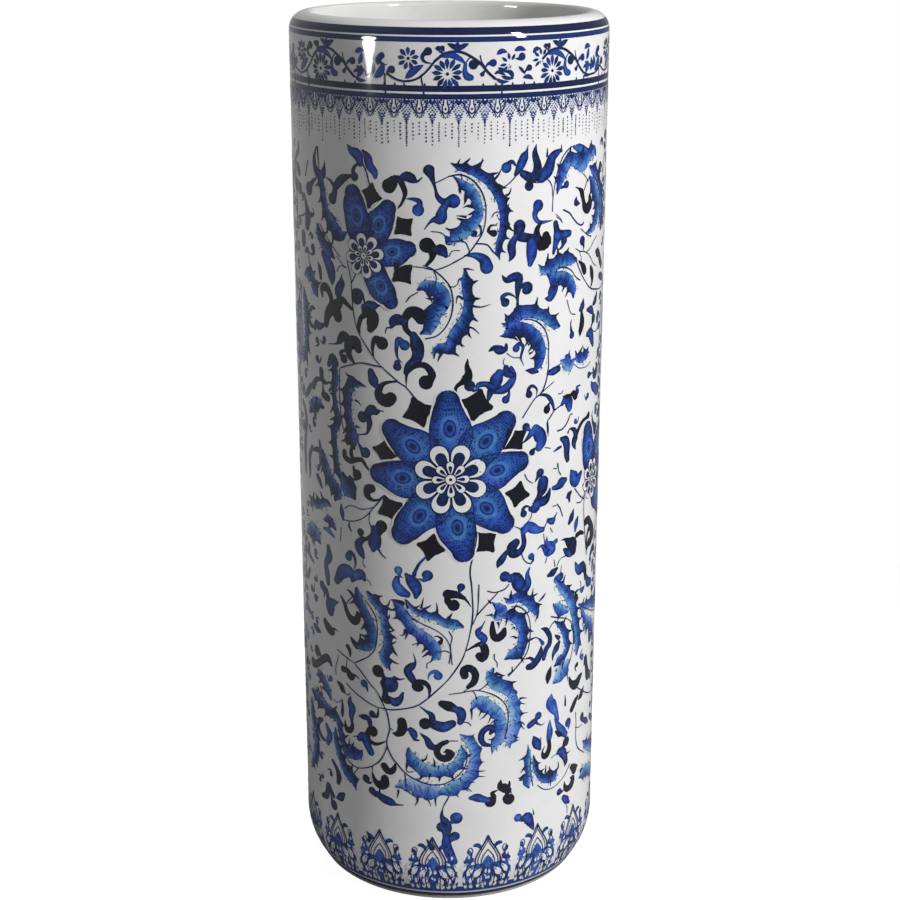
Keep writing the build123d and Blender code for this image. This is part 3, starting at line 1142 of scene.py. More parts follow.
def rosette(films, heart, size, count, phase):
    """White petals with navy hearts, a smaller ring inside them, and a ringed white boss."""
    heart = np.array(heart, float)
    disc(films["line"], heart, circle(heart, 0.84 * size), ROSETTE_GROUND)
    for ring, (layers, *shapes) in enumerate(ROSETTE_RINGS):
        for layer, (near, far, half), tone in zip(layers, shapes, ROSETTE_TONES):
            for k in range(count):
                out = facing(math.radians(phase + 360 * (k + 0.5 * ring) / count))
                teardrop(films[layer], heart, out, near * size, far * size, half * size, tone, 0.04)
        if ring == 0:
            disc(films["over"], heart, circle(heart, 0.36 * size), (0.15, 0.15, 0.15))
    disc(films["top"], heart, circle(heart, 0.138 * size), (0, 0, 0, 0))
    collar = circle(heart, 0.15 * size)
    collar = np.vstack([collar, collar[:2]])
    ribbon(films["spot"], collar, np.full(len(collar), 0.014 * size), 0.1, 0, (False, False))
    disc(films["spot"], heart, circle(heart, 0.046 * size, 12), (0.1, 0.1))


# One side of the ogee leaf, from corner to corner: share of a quarter turn, and reach
OGEE_SIDE = [(0, 1.05), (0.08, 0.97), (0.2, 0.79), (0.35, 0.69), (0.5, 0.66), (0.65, 0.70), (0.8, 0.79),
             (0.92, 0.97)]


def ogee(film, across, up, degrees, size):
    """A four-cornered leaf with slightly hollow sides, almost black."""
    edge = []
    for k in range(4):
        for share, reach in OGEE_SIDE:
            angle = math.radians(degrees + 90 * (k + share))
            reach = size * reach * chance.uniform(0.96, 1.04)
            edge.append((across + reach * math.cos(angle), up + reach * math.sin(angle)))
    disc(film, (across, up), edge, (0.0, 0.0, 0.01, 0.01, 0.01))


# Each flower's heart, rosette size, petals and phase, and great petals (degrees, length, width, bend)
FLOWERS = [
    ((1, 317.5), 24.6, 8, 24,
     [(137, 57, 1.0, 0.05), (49, 59, 1.0, -0.04), (-41, 55, 1.05, 0.0), (-127, 57, 1.0, -0.05),
      (182, 55, 1.0, -0.04), (7, 54, 1.0, 0.06), (-84, 58, 1.0, 0.05), (91, 60, 1.0, 0.0)]),
    ((-57, 463), 14.5, 8, 10,
     [(101, 45, 1.0, 0.02), (-57, 38, 1.05, 0.0), (13, 36, 1.1, -0.04), (62, 41, 1.05, 0.0)]),
    ((125, 297), 14.5, 8, 12,
     [(106, 43, 1.1, -0.04), (57, 44, 1.0, 0.0), (6, 42, 1.0, 0.0), (-48, 44, 1.05, 0.0)]),
]
# Dark leaves between the petals: across, up, degrees of one corner, size
OGEES = [
    (-20, 363, 20, 10.5), (-43, 334, 80, 9.2), (-40, 295, 27, 9.5), (-12, 270, 78, 9.5),
    (24, 273, 41, 9.5), (47, 304, 77, 9), (44, 342, 32, 9.5), (18, 368, 75, 11), (-51.5, 502, 80, 8.2),
    (-29, 484, 40, 7.6), (-30, 454, 40, 8.4),
]


# ---------------------------------------------------------------- feathers, sprays and tendrils

# Feather blades: tone, the side whose edge is torn (1 left of the brush's way, -1 right), and rows
# of (across, up, half width)
FRONDS = [
    # the tall feather at the upper left
    (0.36, -1, (-99, 514, 1.5), (-95, 508, 3), (-92.5, 498, 3.2), (-90, 488, 3.5), (-83, 479, 4.8),
     (-76, 474, 4.5), (-70, 477.5, 0.5)),
    (0.34, 1, (-100, 478, 3), (-96, 470, 4), (-88, 463, 4), (-82, 458, 2)),
    # the great feather at the top
    (0.36, 1, (1, 524, 0.8), (6, 522, 2.4), (12, 520.5, 3), (19, 517.5, 3.6), (26, 512, 3.5),
     (31, 505, 3.6), (34.5, 497, 3.4), (35.5, 488, 3.2), (34.5, 480, 2.9), (32.5, 473, 2.6),
     (31.5, 467, 2), (32.5, 462, 0.3)),
    (0.5, -1, (3, 516, 1), (8, 511.5, 2.6), (14, 506, 3.6), (17.5, 499, 3.4), (18.5, 492, 3.2),
     (14, 486, 4.6), (8, 481, 5), (3, 477, 4), (-1, 474, 2)),
    # its neighbour on the right, and the one beyond it
    (0.48, 1, (75, 501, 1.5), (77, 508, 3), (80, 515, 4.5), (85, 521, 4.5), (92, 521, 5), (100, 518, 6),
     (106, 520, 4), (112, 524, 4), (117, 523, 4), (119, 520, 1)),
    (0.38, 1, (110, 514, 3), (117, 511, 4), (124, 505, 4), (129.5, 498, 4), (133.5, 490, 4),
     (134.5, 480, 4), (133, 470, 4)),
    (0.46, -1, (110, 508, 2.5), (115, 502, 4), (120, 495, 5), (124, 487, 5), (122, 479, 5),
     (115, 473, 3), (106, 471, 1)),
    # the hooked feather above the great flower
    (0.36, 1, (10, 456, 2.5), (11, 450, 3.5), (12, 442, 3.6), (12.5, 434, 3.4), (11, 426, 4),
     (7, 418, 5), (3, 412, 4.5), (0, 405, 3), (-5, 406, 3.5), (-9, 404, 2), (-10, 399, 0.6)),
    (0.42, -1, (-20, 444, 2.5), (-16, 446, 4), (-10, 445, 5), (-5, 442, 5), (-4, 436, 5),
     (-9, 430, 5.5), (-11, 423, 4.5), (-14, 418, 4), (-18, 415, 2)),
    # right of it
    (0.48, 1, (34, 421, 0.5), (38, 420, 3), (44, 425, 4.5), (51, 427.5, 4.8), (58, 426, 4.5),
     (65, 423, 4), (72, 418, 4), (78, 414, 3), (80, 413.5, 0.5)),
    (0.40, -1, (33, 413, 0.4), (37, 413, 2.5), (42, 416, 5), (49, 415.5, 5), (56, 411.5, 5),
     (61, 405, 5), (63, 398, 4.4), (61, 391, 3.8), (58, 387, 2)),
    (0.46, 1, (60, 457, 0.3), (65, 453, 3.5), (72, 455, 5), (80, 457, 5), (88, 457, 4.5),
     (95, 455, 3.5)),
    (0.40, -1, (68, 450, 3), (74, 446, 5), (82, 445, 5), (88, 442, 4.4), (92, 436, 4), (93, 431, 2.5)),
    (0.62, 1, (81, 390, 2), (86, 388, 5), (91, 386, 5), (95, 388, 3)),
    (0.44, 1, (96, 394, 0.5), (99, 389, 3), (103, 388, 4), (108, 388, 3.5), (112, 390, 4),
     (114, 393, 1)),
    # the tall feather left of the great flower
    (0.36, -1, (-57, 376, 0.7), (-62, 377.5, 2), (-69, 377, 4), (-72.5, 369, 4.2), (-72.5, 360, 3.6),
     (-72, 352, 3.4), (-70, 345, 4.5), (-69, 338, 6), (-67, 332, 2)),
    (0.28, -1, (-85, 390, 2.4), (-84, 383, 3), (-84, 376, 3.5), (-85, 368, 2.2), (-84, 359, 2.6),
     (-82, 349, 3.6), (-86, 341, 3.2), (-86, 333, 3), (-85, 325, 2.8), (-84, 316, 3), (-79, 308, 3.4)),
    (0.30, -1, (-99, 325, 1), (-97, 318, 3), (-95, 310, 4.5), (-90, 304, 5), (-84, 298, 5),
     (-86, 292, 3)),
    (0.32, 1, (-78, 313, 3), (-75, 307, 6.5), (-71, 302, 7), (-68, 297.5, 4)),
    (0.30, -1, (-91, 286, 1.5), (-95, 288, 3), (-101, 286, 3.2), (-107, 284, 4), (-113, 283, 3),
     (-122, 285, 2.5)),
    (0.34, 1, (-86, 271, 2.4), (-92, 275.5, 3.6), (-99, 275, 3)),
    # the pair of feathers low on the left
    (0.34, -1, (-67, 233, 3.6), (-65, 223, 4), (-60, 216, 4), (-56.5, 208, 4.5), (-55, 200, 4.5),
     (-58, 194, 4.5), (-64, 192, 4), (-70, 190.5, 1.5)),
    (0.32, 1, (-58, 232, 3.6), (-52, 227, 4), (-47, 222, 3.5), (-45, 216, 3.5), (-44.5, 208, 3.2),
     (-42.5, 201, 3.5), (-43, 194, 4), (-45, 188, 4), (-43, 182, 3), (-41, 178, 0.8)),
    # the feather below the great flower
    (0.42, -1, (-38, 229, 1), (-34, 224, 4), (-29, 216, 4), (-24, 210, 4), (-17, 205, 4.5),
     (-11, 199, 4.5), (-9, 193, 4), (-12, 188, 1)),
    (0.34, 1, (-29, 231, 1.5), (-24, 225, 2), (-18, 222.5, 3), (-12, 221, 3), (-8, 220, 3),
     (-2, 216, 3.5), (4, 215.5, 4), (9, 213, 3)),
    # right of it, round its long arch
    (0.32, 1, (36, 218, 3), (42, 218.5, 4), (47, 216, 4.5), (51, 211, 4.5), (52.5, 205, 4),
     (52, 199, 4), (51, 193, 4.5), (47, 190, 5), (42, 188.5, 3.5), (38.5, 187, 1.5)),
    (0.46, -1, (29, 230, 0.5), (32, 227, 2.5), (36, 223, 4.2), (33, 219, 3.6), (28, 220, 1)),
    (0.32, 1, (37, 232, 0.5), (42, 229, 2.5), (48, 231, 4), (54, 228, 4), (59, 223, 4), (63, 217, 3),
     (64, 212, 0.8)),
    (0.24, 1, (80, 205, 1.5), (87, 200, 3), (91, 194, 3.5), (93, 187, 3.5), (94, 181, 3), (91, 177, 3),
     (85, 174, 4), (80, 172, 1.5)),
    (0.40, 1, (80, 236, 2.5), (84, 231, 3), (88, 227, 4), (93, 222, 4.5), (97, 216, 5), (101, 208, 4.5),
     (104, 199, 4), (107, 190, 4), (108, 181, 4), (106, 172, 3)),
    (0.54, -1, (78, 219, 1.5), (82, 215, 4), (88, 211, 4), (94, 209, 3)),
    (0.52, 1, (97, 171, 4), (92, 168, 6), (86, 163, 6), (80, 160, 4)),
    # the spray above the foot on the right
    (0.50, -1, (15, 152, 1.5), (18, 156, 4), (22, 157, 5), (28, 152, 5), (33, 148, 4.5), (36, 141, 4.5),
     (36.5, 134, 4.5), (35, 128, 4.5), (31.5, 123, 3), (30, 117, 0.4)),
    (0.54, 1, (44, 162, 4), (45.5, 153, 4.5), (47, 145, 4.5), (47, 137, 4.5), (45, 130, 5),
     (42.5, 123, 3), (43, 119, 0.8)),
    (0.44, 1, (30, 181, 3), (28.5, 176, 4), (32, 170, 5), (38, 167, 5), (42, 163, 4.5), (47, 160, 4)),
    # the round one over the foot
    (0.46, -1, (-28, 122, 2), (-27, 116, 4), (-22, 109.5, 5), (-15, 106, 5), (-8, 106, 4.5),
     (0, 107, 4.5), (6, 112, 4), (9, 119, 3.4), (8, 126, 0.8)),
    (0.58, -1, (-38, 91, 2), (-32, 93, 4), (-26, 94, 5), (-20, 91, 6), (-12, 90, 6), (-5, 90.5, 5.5)),
    (0.50, -1, (-6, 90, 5), (0, 91.5, 5), (6, 95, 5), (12, 99, 5), (16, 105, 4.6), (17.5, 112, 4.3),
     (18, 119, 4), (16, 126, 4), (11, 131, 3), (7, 134, 0.8)),
    # lower left and lower right
    (0.30, 1, (-100, 130, 3), (-94, 131, 4), (-89, 130, 4), (-86, 125, 3), (-84, 118, 3), (-81, 111, 3),
     (-77, 107, 4), (-71, 108, 5), (-66, 110, 3.5), (-64, 113, 0.5)),
    (0.28, 1, (-91, 121, 2), (-90, 112, 3), (-87, 104, 3.5), (-83, 97, 4), (-79, 92, 5), (-74, 88, 4.5),
     (-71.5, 83, 2), (-71, 79, 0.6)),
    (0.38, -1, (57.5, 119, 0.3), (58, 112, 2), (57, 107, 3), (57, 102, 2.5), (58, 96, 3), (57, 90, 4),
     (59, 85, 1.5)),
    (0.22, 1, (62, 109, 1.5), (64, 101, 2.5), (66, 95, 2.5), (70, 90, 3.2), (75, 88, 4.5), (81, 88, 5),
     (85.5, 91, 2)),
    # round the right and left sides
    (0.36, 1, (108, 209, 2), (115, 205, 3), (122, 204, 3.5), (130, 203, 4), (140, 200, 5),
     (150, 197, 5), (158, 192, 3.5), (163, 186, 1)),
    (0.40, -1, (111, 206, 1), (118, 196, 3), (124, 190, 4), (131, 186, 5), (138, 180, 4),
     (140, 170, 1.5)),
    (0.42, 1, (121, 98, 2.5), (126, 94, 3.5), (133, 90, 4.5), (142, 85, 5), (150, 82, 5), (158, 82, 3)),
    (0.50, -1, (115, 72, 2), (121, 72, 4), (130, 71, 5), (142, 66, 5), (150, 62, 4), (157, 63, 1)),
    (0.46, -1, (-104, 446, 1.5), (-109, 443, 4.5), (-114, 443, 5), (-120, 441, 3)),
    (0.42, 1, (-108, 441, 3), (-105, 436, 5), (-102, 430, 3)),
    (0.45, 1, (-123, 432, 2), (-120, 422, 4), (-119, 410, 4), (-119, 398, 4), (-122, 388, 4),
     (-128, 380, 3)),
    (0.52, -1, (-133, 424, 2), (-136, 414, 5), (-138, 400, 5.5), (-135, 386, 5), (-137, 376, 2)),
    (0.36, 1, (-97, 355, 3), (-105, 356, 4.5), (-112, 352, 5), (-117, 347, 3)),
    (0.34, 1, (-90, 132, 4), (-97, 131, 4.5), (-104, 134, 4), (-110, 134, 5), (-118, 136, 4),
     (-127, 137, 2)),
    (0.45, 1, (-128, 130, 3), (-126, 118, 4), (-121, 108, 5), (-119, 98, 5), (-121, 88, 5),
     (-127, 80, 4), (-133, 72, 1.5)),
    (0.34, 1, (-95, 141, 1.5), (-99, 147, 4), (-104, 152, 4), (-110, 155, 4), (-116, 153, 1.5)),
    (0.40, -1, (-130, 256, 2), (-122, 260, 5), (-116, 262, 5.5), (-110, 260, 6), (-105, 256, 3)),
]

# Pen-drawn stems and midribs: half width, then (across, up)
STEMS = [
    (0.4, (94, 463), (99, 460.5), (104, 459.5), (110, 457), (115, 453), (119, 449), (124, 446.5)),
    (0.35, (108, 458.5), (113, 460), (118, 463.5), (125, 467)),
    (0.35, (98, 461), (100.5, 457), (101, 453)),
    (0.4, (126, 429), (127.5, 425), (124, 421)),
    (0.35, (101, 511), (105, 508), (108, 505)),
    (0.3, (74, 488), (78, 485), (80, 482)),
    (0.45, (-26, 458.4), (-19, 458.4), (-14, 457.6), (-9, 456.8), (-3, 458.6), (2, 461)),
    (0.35, (0, 465.5), (1.5, 468.5), (4, 469.4), (6.5, 469.2)),
    (0.4, (0, 446.3), (3, 446), (5.5, 448), (6.3, 451)),
    (0.55, (113.5, 291), (112.5, 280), (114, 266), (117, 252), (119, 243)),
    (0.5, (112, 286), (106, 290), (99, 297)),
    (0.5, (113, 289), (108, 285), (102, 286)),
    (0.5, (0, 516), (7, 517), (14, 514), (20, 507), (23, 498), (23, 488), (21, 480), (17, 473.5),
     (13, 468), (12, 466)),
    (0.5, (17, 473.5), (24, 472.5), (28, 468), (31, 465)),
    (0.5, (0, 475), (9, 475), (12, 471), (12, 467), (2, 461)),
    (0.4, (-9, 511.5), (-4, 514), (0, 516)),
    (0.4, (-11, 481.3), (-5, 480.5), (-1, 477)),
    (0.6, (-57, 522), (-54, 516), (-52.5, 510), (-51, 508)),
    (0.45, (-97, 479), (-87, 469), (-77, 460)),
    (0.4, (27, 489.5), (29, 492.5), (33, 493)),
    (0.4, (43, 515), (39, 511), (34, 508)),
    (0.4, (55, 510), (60, 509.5), (66, 511), (70, 507), (71, 500)),
    (0.45, (71, 490), (71.5, 500), (74, 512), (78, 522), (84, 528), (90, 530)),
    (0.35, (74, 503), (76, 512), (80, 520), (85, 526)),
    (0.45, (116, 508), (124, 500), (129, 491), (130, 480), (127, 472)),
    (0.4, (103, 500), (106, 505), (109, 507)),
    (0.6, (81, 490), (87, 487), (91, 483), (96, 479), (101, 477.5), (103, 479)),
    (0.4, (75, 486), (78, 484), (80, 482)),
    (0.4, (100, 475), (108, 470), (114, 468)),
    (0.5, (-71, 460), (-69, 452), (-67.5, 445), (-67, 435), (-66, 425), (-64, 416), (-61, 410),
     (-54, 401), (-47, 393), (-38, 386), (-33, 382), (-28, 379), (-23, 373), (-20, 367)),
    (0.45, (-60, 458), (-65, 448), (-67.5, 444)),
    (0.4, (-71, 454), (-77, 454), (-80, 450)),
    (0.4, (-80, 460), (-72, 453)),
    (0.5, (-78, 386), (-70, 389), (-60, 392), (-50, 391.5), (-44, 391)),
    (0.5, (-16, 459.5), (-10, 457), (-3, 451), (1, 445), (2.5, 436), (1.5, 428), (-2, 420), (-8, 414),
     (-15, 412)),
    (0.45, (-20, 442), (-25, 439), (-27.5, 435.5)),
    (0.35, (-9, 447), (-8, 452), (-10, 457)),
    (0.5, (50, 422), (55, 421.5), (62, 418), (67, 412), (69.5, 404), (69.5, 395), (70, 388), (69, 385)),
    (0.45, (38, 401), (42, 398), (48, 397)),
    (0.5, (77, 453), (84, 452), (90, 449), (95, 444), (100, 441)),
    (0.5, (95, 455), (100, 447), (106, 440), (115, 433), (127, 430), (136, 429), (150, 431)),
    (0.45, (86, 430), (90, 421), (95, 419)),
    (0.4, (91, 416), (90, 410)),
    (0.5, (-79, 385), (-79.5, 372), (-79, 360), (-78, 350), (-76, 343)),
    (0.4, (-64, 338), (-61, 329), (-61, 325)),
    (0.4, (-68, 321), (-67, 318)),
    (0.4, (36.5, 398), (35.5, 395), (37.5, 391.5)),
    (0.6, (50, 356.5), (54, 362), (59, 368), (64, 371), (67, 376), (69, 382), (70, 385), (81, 388)),
    (0.45, (64, 371), (69, 374), (75, 377)),
    (0.55, (70, 343), (69.5, 350), (72, 353), (75.5, 357), (79, 358.5), (84, 360)),
    (0.4, (79, 368), (82, 367.5), (84, 369.5)),
    (0.35, (68, 333), (73, 331.5)),
    (0.6, (79, 342.5), (83, 342.5), (87, 344.5), (90, 348), (92, 351), (94, 351)),
    (0.5, (76, 317), (79, 316), (80, 320), (81, 314), (83, 311)),
    (0.5, (52, 317), (54, 313), (58, 310)),
    (0.4, (95, 385), (102, 381), (112, 380), (118, 382)),
    (0.45, (-44, 303), (-46, 301), (-51, 295), (-56, 292.5), (-62, 291), (-70, 291.8), (-74, 290.5),
     (-76.5, 288.5)),
    (0.45, (-47, 300), (-52, 294), (-57, 288), (-63, 283.5), (-70, 280.8), (-78, 280)),
    (0.5, (-55, 290), (-56, 285), (-55, 281), (-52, 278)),
    (0.4, (-61, 256), (-61.5, 252.5), (-59.5, 250)),
    (0.4, (-60, 241), (-57, 241), (-55, 238)),
    (0.4, (-80.5, 274), (-81, 268), (-81.5, 264)),
    (0.55, (17.5, 266), (15, 260), (14, 252), (15, 243), (15.5, 235), (16, 226), (15.5, 217), (14, 208),
     (12, 199), (9, 190), (5, 183), (1, 177), (-4, 171), (-9, 166), (-15, 160), (-22, 154.5),
     (-30, 151.5), (-40, 149), (-50, 148.7), (-57, 150), (-64, 152.5), (-71, 155.5), (-78, 159.5)),
    (0.5, (20, 243), (19.7, 235), (19.5, 228), (18.5, 221), (15.5, 214)),
    (0.5, (33, 236), (28, 231), (24, 227), (18.5, 221)),
    (0.4, (44, 282), (48, 280), (50, 278)),
    (0.45, (58, 289), (56.5, 285), (53, 282)),
    (0.5, (50, 262), (52, 257), (55, 254), (58, 253)),
    (0.6, (68, 275), (70, 279), (73, 281)),
    (0.5, (68, 272), (69, 266), (70, 262)),
    (0.4, (71, 254), (70, 251)),
    (0.4, (74, 275), (76, 271.5)),
    (0.55, (26, 238), (31, 236.5), (38, 238), (41, 241)),
    (0.6, (80, 290.5), (83, 287), (85.5, 281)),
    (0.4, (76, 290), (79, 290)),
    (0.4, (79, 246), (78, 251)),
    (0.4, (81, 246), (84, 250), (90, 251)),
    (0.4, (85, 240), (85.5, 245)),
    (0.55, (-60, 226), (-56, 222), (-52, 216), (-50.5, 208), (-51, 199), (-53, 191), (-58, 185),
     (-64, 181), (-69.5, 177), (-65, 173), (-60, 168), (-56, 164), (-52, 161), (-49, 156),
     (-46, 150.5)),
    (0.5, (-87, 182.5), (-80, 180), (-73, 178), (-69.5, 177)),
    (0.45, (-77, 219), (-74, 223), (-70, 226.5), (-66, 227)),
    (0.4, (-77, 180), (-77.5, 175), (-78, 171)),
    (0.4, (-86, 178), (-87, 174), (-89, 169), (-89, 163)),
    (0.5, (-29, 224), (-25, 219), (-18, 215), (-9, 211), (-3, 206), (0, 201), (1, 195), (0, 187)),
    (0.5, (-14.5, 160), (-13.5, 164), (-13.5, 168)),
    (0.45, (-7, 195), (-3, 196), (0, 195)),
    (0.45, (-12, 188), (-15, 186), (-15, 183)),
    (0.4, (-17, 200.5), (-22, 200.5), (-25, 199)),
    (0.5, (0, 210), (2, 206), (1, 200), (1.5, 192), (2, 186)),
    (0.4, (13, 168), (10, 166)),
    (0.5, (0, 164), (8, 165), (14, 166), (20, 166), (27, 163.5), (33, 160), (38, 155), (41, 149),
     (41.5, 141), (41, 134), (39, 128)),
    (0.45, (16, 166), (18, 163), (18.5, 160)),
    (0.45, (20, 166), (25, 169), (27, 172)),
    (0.5, (31, 191.5), (31, 188), (33, 185), (33, 182)),
    (0.5, (44, 180), (44, 177), (41, 175)),
    (0.55, (43, 224.5), (49, 223.5), (54, 219), (57, 213), (58, 205), (57.5, 197), (56, 190), (52, 184),
     (46, 178), (41.5, 174)),
    (0.5, (74, 201), (77, 204), (80, 206)),
    (0.5, (59, 198), (63, 198), (66, 196)),
    (0.5, (76, 210), (84, 207), (92, 204), (98, 199), (101, 190), (101, 180), (98, 171)),
    (0.55, (-49, 157), (-46, 150.5), (-43.5, 145), (-42, 136), (-42, 133), (-44, 126), (-44, 121),
     (-42, 116), (-39, 111), (-37, 109), (-30, 102), (-22, 98), (-14, 95.7), (-5, 96), (3, 100),
     (9, 106), (12, 113), (12, 120)),
    (0.55, (-44, 121), (-46, 115), (-50, 108), (-55, 103.5), (-60, 100.5), (-68, 98), (-75, 99),
     (-81, 104), (-85, 112), (-87, 119), (-88, 125)),
    (0.5, (-30.5, 92), (-30.5, 97), (-31, 101.5)),
    (0.45, (-42, 135), (-39.5, 134)),
    (0.45, (-56, 103), (-56, 97), (-56, 93)),
    (0.4, (-72, 86), (-72, 92), (-68, 98)),
    (0.4, (-80, 152), (-77, 151), (-75, 153)),
    (0.4, (-83, 145), (-88, 142), (-93, 142.5)),
    (0.4, (-68, 122.5), (-72, 121)),
    (0.45, (-29, 108), (-30, 105), (-28, 103.5), (-25, 104.5)),
    (0.45, (-3, 128), (0, 129), (6, 129)),
    (0.45, (9, 143), (13, 142.5), (15, 140)),
    (0.45, (60, 108), (60, 100), (61, 92), (62, 86)),
    (0.4, (68.5, 121), (68, 115)),
    (0.4, (79, 102), (81, 103), (84, 103)),
    (0.45, (66, 85), (72, 80), (80, 78), (88, 80), (94, 83), (100, 89)),
    (0.5, (107, 127), (108, 118), (108, 107), (111, 98), (118, 92), (124, 88)),
    (0.4, (107, 115), (113, 113), (118, 113)),
    (0.4, (120, 403), (126, 401), (132, 402)),
    (0.5, (108, 146), (114, 142), (127, 134), (140, 130), (152, 132)),
    (0.45, (113, 206), (120, 202), (130, 197), (142, 192), (152, 190)),
    (0.5, (-124, 480), (-119, 481.5), (-117, 483)),
    (0.5, (-115, 508), (-113, 513), (-111, 518)),
    (0.45, (-126, 436), (-129, 422), (-129, 406), (-128, 392), (-132, 380)),
    (0.5, (97, 58), (98, 55), (98, 51)),
    (0.5, (0, 87), (-2, 83), (-4, 79), (-5, 74)),
    (0.45, (-124, 132), (-122, 122), (-117, 110), (-114, 98), (-116, 84)),
]

